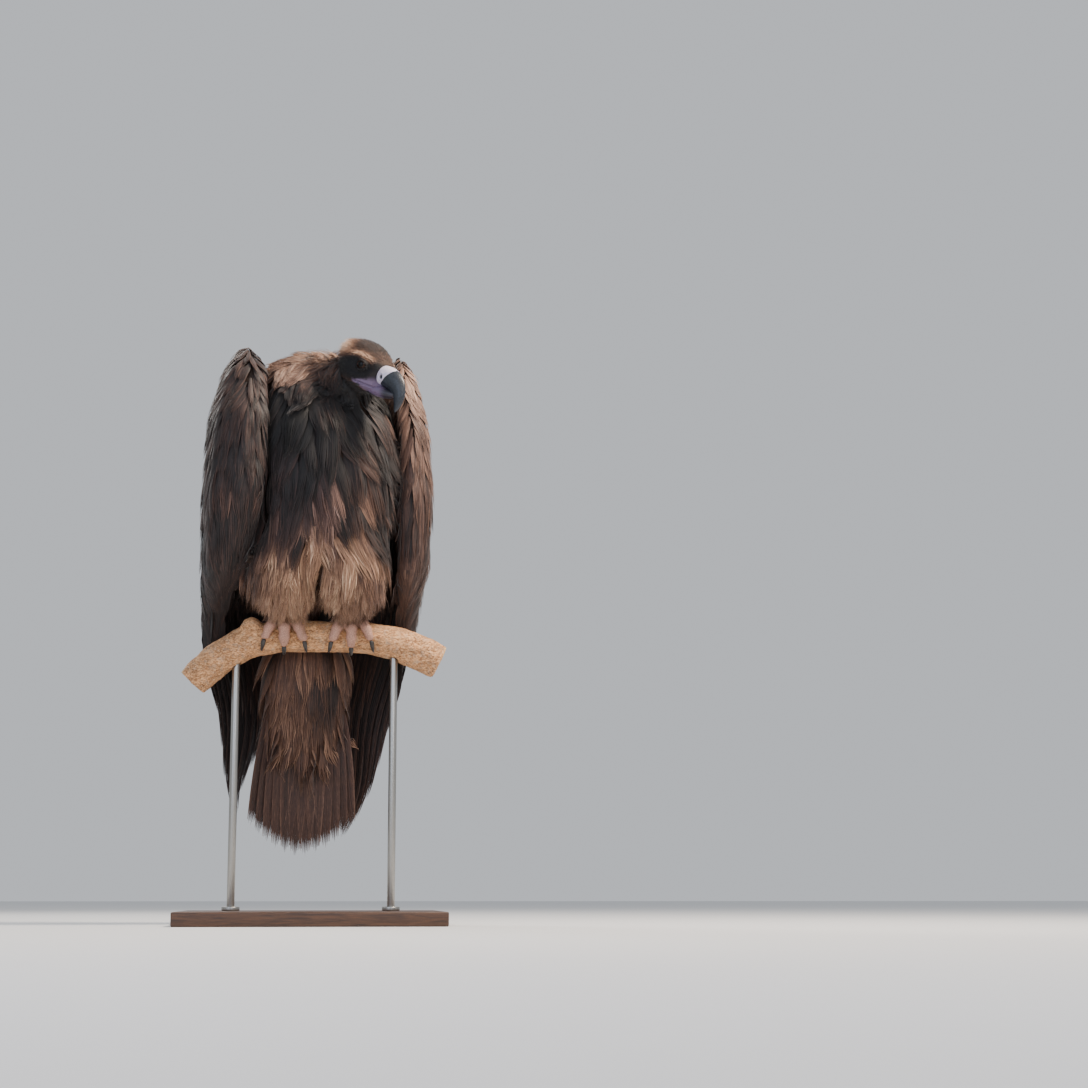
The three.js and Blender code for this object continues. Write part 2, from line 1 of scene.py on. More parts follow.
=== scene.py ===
"""Looks of a life-size cinereous vulture, perched on a cut branch that a plain display stand holds.

Lengths are in metres unless a name ends in _mm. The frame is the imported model's: +Z up, +X to the bird's
own left, -Y the way its breast faces. One skin lies under the plumage. Every feather is a thin solid vane.
"""
from __future__ import annotations

import json
import logging
import math
from dataclasses import dataclass, field
from enum import Enum
from itertools import product
from typing import Callable, Sequence

import bpy
import numpy as np
from mathutils import Matrix, Vector, noise
from mathutils.bvhtree import BVHTree

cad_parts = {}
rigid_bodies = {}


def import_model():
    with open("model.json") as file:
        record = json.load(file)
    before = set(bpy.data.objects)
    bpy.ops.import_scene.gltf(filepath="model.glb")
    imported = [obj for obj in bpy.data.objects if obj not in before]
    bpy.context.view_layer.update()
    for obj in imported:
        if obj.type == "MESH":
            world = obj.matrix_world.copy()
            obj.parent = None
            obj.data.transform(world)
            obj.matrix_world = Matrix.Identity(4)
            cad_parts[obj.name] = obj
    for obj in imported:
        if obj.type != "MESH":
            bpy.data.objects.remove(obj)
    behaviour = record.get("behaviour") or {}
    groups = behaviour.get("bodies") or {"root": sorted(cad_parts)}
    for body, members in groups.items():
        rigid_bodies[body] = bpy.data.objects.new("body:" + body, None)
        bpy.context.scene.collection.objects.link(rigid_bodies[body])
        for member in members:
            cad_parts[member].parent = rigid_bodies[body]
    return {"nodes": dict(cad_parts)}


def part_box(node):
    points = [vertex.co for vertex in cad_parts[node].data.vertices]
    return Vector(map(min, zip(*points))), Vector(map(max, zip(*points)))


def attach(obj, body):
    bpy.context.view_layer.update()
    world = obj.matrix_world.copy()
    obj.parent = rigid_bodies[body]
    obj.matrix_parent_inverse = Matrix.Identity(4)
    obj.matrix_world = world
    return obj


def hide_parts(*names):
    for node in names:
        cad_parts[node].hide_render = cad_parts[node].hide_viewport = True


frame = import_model()
for extra in [thing for thing in bpy.data.objects if thing.name in ("Cube", "Light", "Camera")]:
    bpy.data.objects.remove(extra)  # Blender's own start-up scene
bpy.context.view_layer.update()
LOG = logging.getLogger("vulture")

MM = 0.001
BODY = "root"
BODY_YAW = math.radians(9)  # the body turns this far to its own left over the perch
SIDES = {"left": 1, "right": -1}
PLUME = "plume"  # colour attribute of feathers and skin: tone, warmth, edge, place along the feather
BARE = "bare"  # colour attribute of the skin: bare face, gape, leg
VANE_MAP = "Vane"  # feather's own map, where one unit is VANE_UNIT across and along
VANE_UNIT = 0.1
BAKE_MAP = "OFBake"
PATCH = 0.003  # the side of one feather's patch on the bake map

Array = np.ndarray
Colour = tuple[float, float, float, float]
Node = bpy.types.Node
Piece = bpy.types.Object
Lay = Callable[[Array], Array]


# ---- small helpers


def linear(code: str) -> Colour:
    """Turns an sRGB hex colour into linear light.

    Args:
        code: Six hex digits after a hash.

    Returns:
        Red, green, blue and a full alpha.
    """
    parts = [int(code[i:i + 2], 16) / 255 for i in (1, 3, 5)]
    red, green, blue = (c / 12.92 if c <= 0.04045 else ((c + 0.055) / 1.055) ** 2.4 for c in parts)
    return red, green, blue, 1.0


def ease(low: float, high: float, value: Array) -> Array:
    """Eases from 0 at low to 1 at high."""
    share = np.clip((value - low) / (high - low), 0, 1)
    return share * share * (3 - 2 * share)


def unit(vectors: Array) -> Array:
    """Vectors at length one."""
    return vectors / np.maximum(np.linalg.norm(vectors, axis=-1, keepdims=True), 1e-12)


def turned(points: Array, angle: float) -> Array:
    """Points turned about the upright axis through the origin."""
    c, s = math.cos(angle), math.sin(angle)
    return points @ np.array([[c, s, 0], [-s, c, 0], [0, 0, 1]])


def in_body(points: Array) -> Array:
    """World points in the body's own frame, which faces straight along -Y."""
    return turned(points, -BODY_YAW)


def to_world(x: Array | float, y: Array | float, z: Array | float) -> Array:
    """World points or ways from the body frame's three numbers."""
    return turned(np.stack(np.broadcast_arrays(x, y, z), -1), BODY_YAW)


def set_mode(mode: str, select: str = "") -> None:
    """Changes the mode, and in edit mode selects all, nothing or the rest of the mesh.

    Args:
        mode: Blender's mode.
        select: What select_all is told to do, or nothing.
    """
    bpy.ops.object.mode_set(mode=mode)
    if select:
        bpy.ops.mesh.select_all(action=select)


def deselect_all() -> None:
    """Leaves edit mode and selects nothing."""
    if bpy.context.object and bpy.context.object.mode != "OBJECT":
        set_mode("OBJECT")
    bpy.ops.object.select_all(action="DESELECT")


def make_active(piece: Piece) -> None:
    """Selects one object alone and makes it active.

    Args:
        piece: The object.
    """
    deselect_all()
    piece.select_set(True)
    bpy.context.view_layer.objects.active = piece


def apply_modifier(piece: Piece, kind: str, **settings: object) -> None:
    """Adds one modifier and applies it.

    Args:
        piece: The object.
        kind: The modifier's type name.
        **settings: The modifier's properties.
    """
    make_active(piece)
    modifier = piece.modifiers.new(kind.title(), kind)
    for name, value in settings.items():
        setattr(modifier, name, value)
    bpy.ops.object.modifier_apply(modifier=modifier.name)


def read_all(items: bpy.types.bpy_prop_collection, name: str, width: int, kind: type = np.float32) -> Array:
    """Reads one property of many mesh items.

    Args:
        items: Vertices, edges, triangles or the like.
        name: The property.
        width: How many numbers it holds.
        kind: The numbers' type.

    Returns:
        One row for each item.
    """
    values = np.empty(len(items) * width, kind)
    items.foreach_get(name, values)
    return values.reshape(-1, width)


def mesh_points(piece: Piece) -> Array:
    """The mesh's vertex places."""
    return read_all(piece.data.vertices, "co", 3).astype(float)


def mesh_normals(piece: Piece) -> Array:
    """The mesh's vertex normals."""
    return read_all(piece.data.vertex_normals, "vector", 3).astype(float)


def mesh_triangles(piece: Piece, part: str = "vertices") -> Array:
    """The mesh's triangles as rows of three vertex numbers, or of three loop numbers."""
    piece.data.calc_loop_triangles()
    return read_all(piece.data.loop_triangles, part, 3, np.int32)


def set_points(piece: Piece, points: Array) -> None:
    """Moves the mesh's vertices to new places."""
    piece.data.vertices.foreach_set("co", points.astype(np.float32).ravel())
    piece.data.update()


def set_colours(piece: Piece, name: str, *parts: Array | float) -> None:
    """Stores numbers for each vertex as a colour attribute.

    Args:
        piece: The object.
        name: The attribute.
        *parts: Up to four channels; missing colours are 0 and a missing alpha is 1.
    """
    channels = [*parts, *(0.0, 0.0, 0.0, 1.0)[len(parts):]]
    values = np.stack(np.broadcast_arrays(*channels), -1).astype(np.float32)
    layer = piece.data.attributes.new(name, "FLOAT_COLOR", "POINT")
    layer.data.foreach_set("color", values.ravel())


def spread(values: Array, edges: Array, rounds: int) -> Array:
    """Averages values over neighbouring vertices.

    Args:
        values: One value for each vertex.
        edges: Pairs of vertex numbers.
        rounds: How often it is done.

    Returns:
        The softened values.
    """
    count = np.zeros(len(values))
    np.add.at(count, edges.ravel(), 1)
    for _ in range(rounds):
        total = np.zeros(len(values))
        for here, there in (edges.T, edges.T[::-1]):
            np.add.at(total, here, values[there])
        values = (values + total / np.maximum(count, 1)) / 2
    return values


def copy_of_nodes(names: Sequence[str], title: str) -> Piece:
    """Copies CAD nodes into one new mesh with its doubles merged.

    Args:
        names: The nodes' names.
        title: The new object's name.

    Returns:
        The joined copy.
    """
    deselect_all()
    copies = [bpy.data.objects.new(title, frame["nodes"][name].data.copy()) for name in names]
    for made in copies:
        bpy.context.scene.collection.objects.link(made)
        made.data.materials.clear()
        made.select_set(True)
    bpy.context.view_layer.objects.active = copies[0]
    if len(copies) > 1:
        bpy.ops.object.join()
    set_mode("EDIT", "SELECT")
    bpy.ops.mesh.remove_doubles(threshold=1e-5)
    set_mode("OBJECT")
    copies[0].name = title
    copies[0].data.name = title
    return copies[0]


def swell(piece: Piece, by_mm: float) -> None:
    """Swells a mesh along its normals, so that neighbouring shells run into one another.

    Args:
        piece: The object.
        by_mm: How far.
    """
    make_active(piece)
    set_mode("EDIT", "SELECT")
    bpy.ops.transform.shrink_fatten(value=by_mm * MM)
    set_mode("OBJECT")


def settle(piece: Piece, material: bpy.types.Material | None = None,
           replaced: Sequence[str] = ()) -> None:
    """Hands a finished piece to the frame and reports it.

    Args:
        piece: The finished object, at the origin.
        material: Its material, unless it has its own already.
        replaced: CAD nodes that it stands for.
    """
    if material is not None:
        piece.data.materials.clear()
        piece.data.materials.append(material)
    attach(piece, BODY)
    if replaced:
        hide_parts(*replaced)
    LOG.info("%s: %d faces", piece.name, len(piece.data.polygons))


def node_size(name: str) -> tuple[Array, Array]:
    """A CAD node's middle and its size along each axis."""
    low, high = (np.array(corner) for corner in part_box(name))
    return (low + high) / 2, high - low


def tree_of_nodes(names: Sequence[str]) -> tuple[BVHTree, Array]:
    """Puts CAD nodes into one search tree.

    Args:
        names: The nodes.

    Returns:
        The tree and, for each of its triangles, its node's place in the names.
    """
    points, triangles, owner, start = [], [], [], 0
    for i, name in enumerate(names):
        node = frame["nodes"][name]
        points.append(mesh_points(node))
        triangles.append(mesh_triangles(node) + start)
        owner += [i] * len(triangles[-1])
        start += len(points[-1])
    tree = BVHTree.FromPolygons(np.concatenate(points).tolist(), np.concatenate(triangles).tolist(),
                                all_triangles=True)
    return tree, np.array(owner)


# ---- finishes


@dataclass(frozen=True)
class Finish:
    """A surface finish that is made into a material once."""

    name: str

    def material(self) -> bpy.types.Material:
        """Gives the finish's material, made when it is first asked for.

        Returns:
            The material.
        """
        made = bpy.data.materials.get(self.name)
        if made is None:
            made = bpy.data.materials.new(self.name)
            made.use_nodes = True
            made.node_tree.nodes.clear()
            self.paint()
        return made

    def node(self, kind: str, inputs: dict | None = None, size_mm: Sequence[float] = (), stops: Sequence = (),
             **settings: object) -> Node:
        """Adds a shader node with its settings and links.

        Args:
            kind: The node's type name after "ShaderNode".
            inputs: By input name or number, a value, a hex colour, a socket, or a node for its first output.
            size_mm: For a node on the object's own coordinates, what one unit stands for along each axis.
            stops: Places and hex colours of a colour ramp.
            **settings: The node's own properties.

        Returns:
            The new node.
        """
        tree = bpy.data.materials[self.name].node_tree
        node = tree.nodes.new(f"ShaderNode{kind}")
        links = dict(inputs or {})
        if size_mm:
            place = self.node("TexCoord").outputs["Object"]
            links[0] = self.node("Mapping", {0: place, "Scale": [1 / (size * MM) for size in size_mm]})
        for name, value in settings.items():
            setattr(node, name, value)
        for name, value in links.items():
            if isinstance(value, (Node, bpy.types.NodeSocket)):
                tree.links.new(value.outputs[0] if isinstance(value, Node) else value, node.inputs[name])
            else:
                node.inputs[name].default_value = linear(value) if isinstance(value, str) else value
        for i, (place, code) in enumerate(stops):
            stop = node.color_ramp.elements[i] if i < 2 else node.color_ramp.elements.new(place)
            stop.position = place
            stop.color = linear(code)
        return node

    def paint(self) -> None:
        """Lays the finish's patterns and ends with shade()."""
        raise NotImplementedError

    def shade(self, inputs: dict, height: Node | None = None, depth_mm: float = 0,
              strength: float = 1) -> None:
        """Ends the material.

        Args:
            inputs: The Principled shader's inputs.
            height: The relief's height from 0 to 1.
            depth_mm: What a height of 1 stands for.
            strength: How much of the relief shows.
        """
        if height is not None:
            bump = self.node("Bump", {"Height": height, "Distance": depth_mm * MM, "Strength": strength})
            inputs = {**inputs, "Normal": bump}
        self.node("OutputMaterial", {"Surface": self.node("BsdfPrincipled", inputs)})


@dataclass(frozen=True)
class FeatherFinish(Finish):
    """Keratin vanes: dull melanin brown, bleached and frayed at the edges, with fine barbs across them."""

    name: str = "contour_feather_keratin"
    # From fresh, nearly black barbs to sun-bleached brown ones; the warm set is the sandy underparts.
    cool: tuple[str, ...] = ("#070607", "#181112", "#3c2926", "#785a4f", "#b3958a")
    warm: tuple[str, ...] = ("#0e0807", "#291913", "#694835", "#ab8466", "#dab795")
    steps: tuple[float, ...] = (0.0, 0.22, 0.5, 0.8, 1.0)  # tones that the colours stand for
    mottle_mm: tuple[float, float, float] = (9, 9, 30)
    barb_mm: float = 1.5  # real barbs are about 0.4 mm apart, drawn coarser so that they show
    barb_slant: float = 0.0875
    fringe: float = 0.16  # how much paler a worn edge is
    # The root is darkened as painted shade where the feathers overlap.
    root_painted_shade: float = -0.2  # how much darker the root is
    roughness: float = 0.64
    sheen: float = 0.2

    def paint(self) -> None:
        """Mixes melanin tones by the feather's marks and lays barbs over them."""
        plume = self.node("Attribute", attribute_name=PLUME)
        tone, warmth, edge = self.node("SeparateColor", {0: plume}).outputs
        along = plume.outputs["Alpha"]
        vane = self.node("UVMap", uv_map=VANE_MAP)
        mottle = self.node("TexNoise", {"Detail": 4.0}, self.mottle_mm)
        hairs = self.node("TexNoise", {0: self.node("Mapping", {0: vane, "Scale": (60, 5, 1)}), "Scale": 1.0,
                                       "Detail": 3.0})
        # Worn edge, worn tip, painted shade at the root, dark shaft: the value read, its start and end, the
        # strengths.
        for value, start, end, first, last in (
                (edge, 0.45, 1.0, 0.0, self.fringe), (along, 0.5, 1.0, 0.0, self.fringe),
                (along, 0.0, 0.45, self.root_painted_shade, 0.0), (edge, 0.0, 0.1, -0.1, 0.0)):
            shift = self.node("MapRange", {"Value": value, "From Min": start, "From Max": end,
                                           "To Min": first, "To Max": last})
            tone = self.node("Math", {0: tone, 1: shift}, operation="ADD")
        for grain, strength in ((mottle, 0.24), (hairs, 0.44)):
            shift = self.node("Math", {0: grain, 1: strength, 2: -strength / 2}, operation="MULTIPLY_ADD")
            tone = self.node("Math", {0: tone, 1: shift}, operation="ADD")
        cool, warm = (self.node("ValToRGB", {0: tone}, stops=tuple(zip(self.steps, codes)))
                      for codes in (self.cool, self.warm))
        lines = VANE_UNIT / (self.barb_mm * MM)
        level = self.node("Math", {0: self.node("SeparateXYZ", {0: vane}).outputs["Y"], 1: lines},
                          operation="MULTIPLY")
        slant = self.node("Math", {0: edge, 1: self.barb_slant * lines, 2: level}, operation="MULTIPLY_ADD")
        turn = self.node("Math", {0: slant, 1: 2 * math.pi}, operation="MULTIPLY")
        ridge = self.node("Math", {0: turn}, operation="SINE")
        height = self.node("Math", {0: ridge, 1: 0.16, 2: hairs}, operation="MULTIPLY_ADD")
        rough = self.node("Math", {0: hairs, 1: 0.25, 2: self.roughness - 0.12}, operation="MULTIPLY_ADD")
        colour = self.node("Mix", {0: warmth, 6: cool, 7: warm}, data_type="RGBA").outputs[2]
        self.shade({"Base Color": colour, "Roughness": rough, "Specular IOR Level": 0.35,
                    "Sheen Weight": self.sheen, "Sheen Roughness": 0.45}, height, 0.5, 0.4)


@dataclass(frozen=True)
class SkinFinish(Finish):
    """Living skin: dusky under the plumage, with painted shade there; lilac round the gape; pale scaled skin
    on the feet.
    """

    name: str = "bird_skin"
    dark: str = "#15100f"
    mid: str = "#4a352b"
    sandy: str = "#4f3a2d"
    face: str = "#0a090d"
    gape: str = "#85728f"
    gape_dark: str = "#584a60"
    leg: str = "#cfa28e"
    leg_dark: str = "#86604f"
    scale_mm: float = 2.3

    def paint(self) -> None:
        """Colours the skin by its marks, with scales on the feet and folds on the face."""
        marks = self.node("Attribute", attribute_name=PLUME)
        tone, warmth, _ = self.node("SeparateColor", {0: marks}).outputs
        face, gape, leg = self.node("SeparateColor", {0: self.node("Attribute", attribute_name=BARE)}).outputs
        blotch = self.node("TexNoise", {"Detail": 5.0}, (7, 7, 7))
        folds = self.node("TexNoise", {"Detail": 4.0, "Distortion": 0.6}, (1.6, 1.6, 1.1))
        scales = self.node("TexVoronoi", {"Scale": 1.0}, (self.scale_mm * 1.6, self.scale_mm, self.scale_mm),
                           feature="DISTANCE_TO_EDGE")
        plate = self.node("MapRange", {"Value": scales, "From Max": 0.2, "To Min": 0.35})
        dusky = self.node("ValToRGB", {0: tone}, stops=((0.0, self.dark), (0.8, self.mid)))
        weak = self.node("Math", {0: blotch, 1: 0.6}, operation="MULTIPLY")
        colour, foot, lilac = (
            self.node("Mix", {0: share, 6: first, 7: second}, data_type="RGBA").outputs[2]
            for share, first, second in ((warmth, dusky, self.sandy), (plate, self.leg_dark, self.leg),
                                         (blotch, self.gape, self.gape_dark)))
        foot = self.node("Mix", {0: weak, 6: foot, 7: self.leg_dark}, data_type="RGBA").outputs[2]
        for share, over in ((face, self.face), (gape, lilac), (leg, foot)):
            colour = self.node("Mix", {0: share, 6: colour, 7: over}, data_type="RGBA").outputs[2]
        height = self.node("Mix", {0: leg, 2: folds, 3: plate})
        self.shade({"Base Color": colour, "Roughness": 0.55, "Specular IOR Level": 0.28}, height, 0.8, 0.7)


@dataclass(frozen=True)
class HornFinish(Finish):
    """Polished keratin horn of bill and claws: dark, semi-gloss, with faint growth lines and worn edges."""

    name: str = "bill_horn_keratin"
    dark: str = "#14171b"
    light: str = "#343a44"
    roughness: float = 0.34
    grain_mm: tuple[float, float, float] = (7, 7, 1.6)

    def paint(self) -> None:
        """Lays clouded grey over near-black, with scratches in the gloss."""
        cloud = self.node("TexNoise", {"Detail": 5.0}, (14, 14, 14))
        lines = self.node("TexNoise", {"Detail": 6.0}, self.grain_mm)
        blend = self.node("Math", {0: cloud, 1: lines}, operation="MULTIPLY")
        colour = self.node("ValToRGB", {0: blend}, stops=((0.14, self.dark), (0.42, self.light)))
        rough = self.node("Math", {0: lines, 1: 0.3, 2: self.roughness - 0.15}, operation="MULTIPLY_ADD")
        self.shade({"Base Color": colour, "Roughness": rough}, lines, 0.25, 0.5)


@dataclass(frozen=True)
class CereFinish(Finish):
    """Waxy bare skin over the bill's base: pale lilac-white, faintly pored, with painted shade towards its
    edges.
    """

    name: str = "cere_waxy_skin"
    pale: str = "#cfc7d6"
    deep: str = "#8f86a3"
    pit: str = "#17141a"
    roughness: float = 0.42

    def paint(self) -> None:
        """Mixes lilac cloud over the pale skin and paints shade where the marks say it lies deep."""
        marks = self.node("Attribute", attribute_name=PLUME)
        sunk, shaded, _ = self.node("SeparateColor", {0: marks}).outputs
        cloud = self.node("TexNoise", {"Detail": 4.0}, (11, 11, 11))
        pores = self.node("TexNoise", {"Detail": 3.0}, (1.1, 1.1, 1.1))
        veil = self.node("Math", {0: cloud, 1: 0.8, 2: -0.3}, operation="MULTIPLY_ADD")
        # Painted shade on the cere's lower part, in its crease and round the nostrils.
        share = self.node("Math", {0: shaded, 1: veil}, operation="ADD", use_clamp=True)
        colour = self.node("Mix", {0: share, 6: self.pale, 7: self.deep}, data_type="RGBA").outputs[2]
        # Painted shade fills the nostrils; on the lower bill the same share is its dark horn tip.
        colour = self.node("Mix", {0: sunk, 6: colour, 7: self.pit}, data_type="RGBA").outputs[2]
        rough = self.node("Math", {0: pores, 1: 0.2, 2: self.roughness - 0.1}, operation="MULTIPLY_ADD")
        self.shade({"Base Color": colour, "Roughness": rough, "Subsurface Weight": 0.08,
                    "Subsurface Scale": 2 * MM}, pores, 0.25, 0.5)


@dataclass(frozen=True)
class EyeFinish(Finish):
    """Wet cornea over a dark brown iris: the clear coat gives the sharp highlight of a live eye."""

    name: str = "eye_cornea"
    iris: str = "#2b160b"
    rim: str = "#0d0605"
    pupil: str = "#020202"

    def paint(self) -> None:
        """Rings the pupil with the iris by the marks on the ball."""
        marks = self.node("Attribute", attribute_name=PLUME)
        away, _, _ = self.node("SeparateColor", {0: marks}).outputs
        fleck = self.node("TexNoise", {"Detail": 3.0}, (0.8, 0.8, 0.8))
        shift = self.node("Math", {0: fleck, 1: 0.06, 2: -0.03}, operation="MULTIPLY_ADD")
        place = self.node("Math", {0: away, 1: shift}, operation="ADD")
        colour = self.node("ValToRGB", {0: place}, stops=(
            (0.0, self.pupil), (0.3, self.pupil), (0.36, self.iris), (0.62, self.iris), (0.75, self.rim)))
        self.shade({"Base Color": colour, "Roughness": 0.35, "Specular IOR Level": 0.0, "Coat Weight": 0.4,
                    "Coat Roughness": 0.02})


@dataclass(frozen=True)
class BarkFinish(Finish):
    """Weathered bark: tan and orange-brown plates with grey lichen, and cracks along the branch darkened as
    painted shade.
    """

    name: str = "weathered_bark"
    crack: str = "#5a3a26"
    mid: str = "#cb9263"
    pale: str = "#f1c28f"
    grey: str = "#b9a189"
    wander: float = 1.6  # how far the cracks wander, in their own spacing

    def paint(self) -> None:
        """Lays plates, lichen and cracks in that order."""
        plates = self.node("TexNoise", {"Detail": 8.0, "Roughness": 0.62}, (26, 9, 9))
        lichen = self.node("TexNoise", {"Detail": 6.0}, (38, 38, 38))
        warp = self.node("TexNoise", {"Detail": 3.0}, (20, 20, 20)).outputs["Color"]
        bent = self.node("VectorMath", {0: warp, 1: (self.wander,) * 3}, operation="MULTIPLY")
        place = self.node("VectorMath", {1: bent}, (46, 15, 15), operation="ADD")
        cracks = self.node("TexVoronoi", {0: place, "Scale": 1.0}, feature="DISTANCE_TO_EDGE")
        gap = self.node("MapRange", {"Value": cracks, "From Max": 0.07})
        ramp = self.node("ValToRGB", {0: plates}, stops=((0.3, self.crack), (0.66, self.pale),
                                                         (0.47, self.mid)))
        patch = self.node("MapRange", {"Value": lichen, "From Min": 0.52, "From Max": 0.68, "To Max": 0.6})
        # The cracks are darkened towards the crack colour as painted shade.
        shade = self.node("Math", {0: gap, 1: -0.55, 2: 0.55}, operation="MULTIPLY_ADD")
        height = self.node("Math", {0: gap, 1: 0.5, 2: plates}, operation="MULTIPLY_ADD")
        colour = self.node("Mix", {0: patch, 6: ramp, 7: self.grey}, data_type="RGBA").outputs[2]
        colour = self.node("Mix", {0: shade, 6: colour, 7: self.crack}, data_type="RGBA").outputs[2]
        self.shade({"Base Color": colour, "Roughness": 0.85}, height, 2.2, 0.8)


@dataclass(frozen=True)
class SawnFinish(Finish):
    """Sawn branch end: pale wood with growth rings round the pith and fine saw marks."""

    name: str = "sawn_end_grain"
    early: str = "#d9b98c"
    late: str = "#a67c4e"
    ring_mm: float = 2.4
    pith_reach_mm: float = 30  # what a mark of 1 stands for

    def paint(self) -> None:
        """Rings by the distance from the pith, which the marks hold."""
        marks = self.node("Attribute", attribute_name=PLUME)
        away, _, _ = self.node("SeparateColor", {0: marks}).outputs
        wobble = self.node("TexNoise", {"Detail": 3.0}, (18, 18, 18))
        saw = self.node("TexNoise", {"Detail": 2.0}, (2, 2, 0.7))
        radius = self.node("Math", {0: wobble, 1: 0.12, 2: away}, operation="MULTIPLY_ADD")
        turns = 2 * math.pi * self.pith_reach_mm / self.ring_mm
        wave = self.node("Math", {0: self.node("Math", {0: radius, 1: turns}, operation="MULTIPLY")},
                         operation="SINE")
        share = self.node("Math", {0: wave, 1: 0.4, 2: 0.5}, operation="MULTIPLY_ADD")
        colour = self.node("Mix", {0: share, 6: self.early, 7: self.late}, data_type="RGBA").outputs[2]
        self.shade({"Base Color": colour, "Roughness": 0.8}, saw, 0.5, 0.6)


@dataclass(frozen=True)
class BaseWoodFinish(Finish):
    """Stained and oiled walnut board: dark lengthwise grain with open pores and a satin finish."""

    name: str = "oiled_walnut"
    dark: str = "#2a1a11"
    light: str = "#5d3d28"

    def paint(self) -> None:
        """Runs grain along the board with short pores in it."""
        grain = self.node("TexNoise", {"Detail": 8.0, "Distortion": 0.8, "Roughness": 0.6}, (260, 9, 18))
        pores = self.node("TexNoise", {"Detail": 2.0}, (14, 0.9, 0.9))
        pore = self.node("MapRange", {"Value": pores, "From Min": 0.3, "From Max": 0.42})
        ramp = self.node("ValToRGB", {0: grain}, stops=((0.3, self.dark), (0.7, self.light)))
        colour = self.node("Mix", {0: pore, 6: self.dark, 7: ramp}, data_type="RGBA").outputs[2]
        rough = self.node("Math", {0: grain, 1: 0.2, 2: 0.34}, operation="MULTIPLY_ADD")
        self.shade({"Base Color": colour, "Roughness": rough}, pore, 0.2, 0.5)


@dataclass(frozen=True)
class SteelFinish(Finish):
    """Brushed stainless steel: bright metal with fine turned lines round each rod."""

    name: str = "brushed_stainless_steel"
    bright: str = "#b4b2ad"
    dull: str = "#8b8a86"
    line_mm: float = 0.9  # real brushing is finer, drawn coarse enough to show

    def paint(self) -> None:
        """Breaks up the gloss along the lines."""
        lines = self.node("TexNoise", {"Detail": 3.0}, (30, 30, self.line_mm))
        colour = self.node("Mix", {0: lines, 6: self.bright, 7: self.dull}, data_type="RGBA").outputs[2]
        rough = self.node("Math", {0: lines, 1: 0.25, 2: 0.2}, operation="MULTIPLY_ADD")
        self.shade({"Base Color": colour, "Metallic": 1.0, "Roughness": rough})


@dataclass(frozen=True)
class FloorFinish(Finish):
    """Matt painted studio floor: even pale grey with the faintest mottle."""

    name: str = "studio_floor_paint"
    pale: str = "#d9dadb"
    dull: str = "#c9cacc"

    def paint(self) -> None:
        """Keeps the floor plain."""
        cloud = self.node("TexNoise", {"Detail": 2.0}, (400, 400, 400))
        share = self.node("Math", {0: cloud, 1: 0.12}, operation="MULTIPLY")
        colour = self.node("Mix", {0: share, 6: self.pale, 7: self.dull}, data_type="RGBA").outputs[2]
        self.shade({"Base Color": colour, "Roughness": 0.9})


# ---- frames and surfaces


@dataclass
class HeadFrame:
    """The head's own frame: +X along the bill, +Y to the bird's left, +Z over the crown, in head mm."""

    yaw_deg: float = 46
    nod_deg: float = 22
    size: float = 1.1
    eye_radius: float = 9.6
    mouth_corner: float = 7.0
    mouth_drop: float = 17.5  # how far the corner of the mouth lies under the frame's origin
    mouth_slope: float = 0.08

    eye = np.array([15.0, 29.5, 8.5])  # the left eyeball's centre

    def __post_init__(self) -> None:
        """Places the frame midway between the eyeballs."""
        turn = Matrix.Rotation(math.radians(self.yaw_deg - 90), 3, "Z")
        self.turn = np.array(turn @ Matrix.Rotation(math.radians(self.nod_deg), 3, "Y"))
        middle = (node_size("eye_left")[0] + node_size("eye_right")[0]) / 2
        self.origin = middle - self.size * MM * self.turn @ (self.eye * (1, 0, 1))

    def place(self, head_points: Array) -> Array:
        """World places of points in head mm."""
        return self.origin + self.size * MM * head_points @ self.turn.T

    def within(self, places: Array) -> Array:
        """Head mm of world places."""
        return (places - self.origin) @ self.turn / (self.size * MM)

    def gape(self, spot: Array) -> tuple[Array, Array]:
        """Measures places against the line of the mouth.

        Args:
            spot: Places in head mm.

        Returns:
            How far each lies above the line, and how far from the line the bare skin reaches there.
        """
        above = spot[:, 2] + self.mouth_drop + self.mouth_slope * (spot[:, 0] - self.mouth_corner)
        ahead = np.maximum(spot[:, 0] - self.mouth_corner - 1, 0)
        return above, np.where(above > 0, 2 + 0.38 * ahead, 4 + 0.55 * ahead)


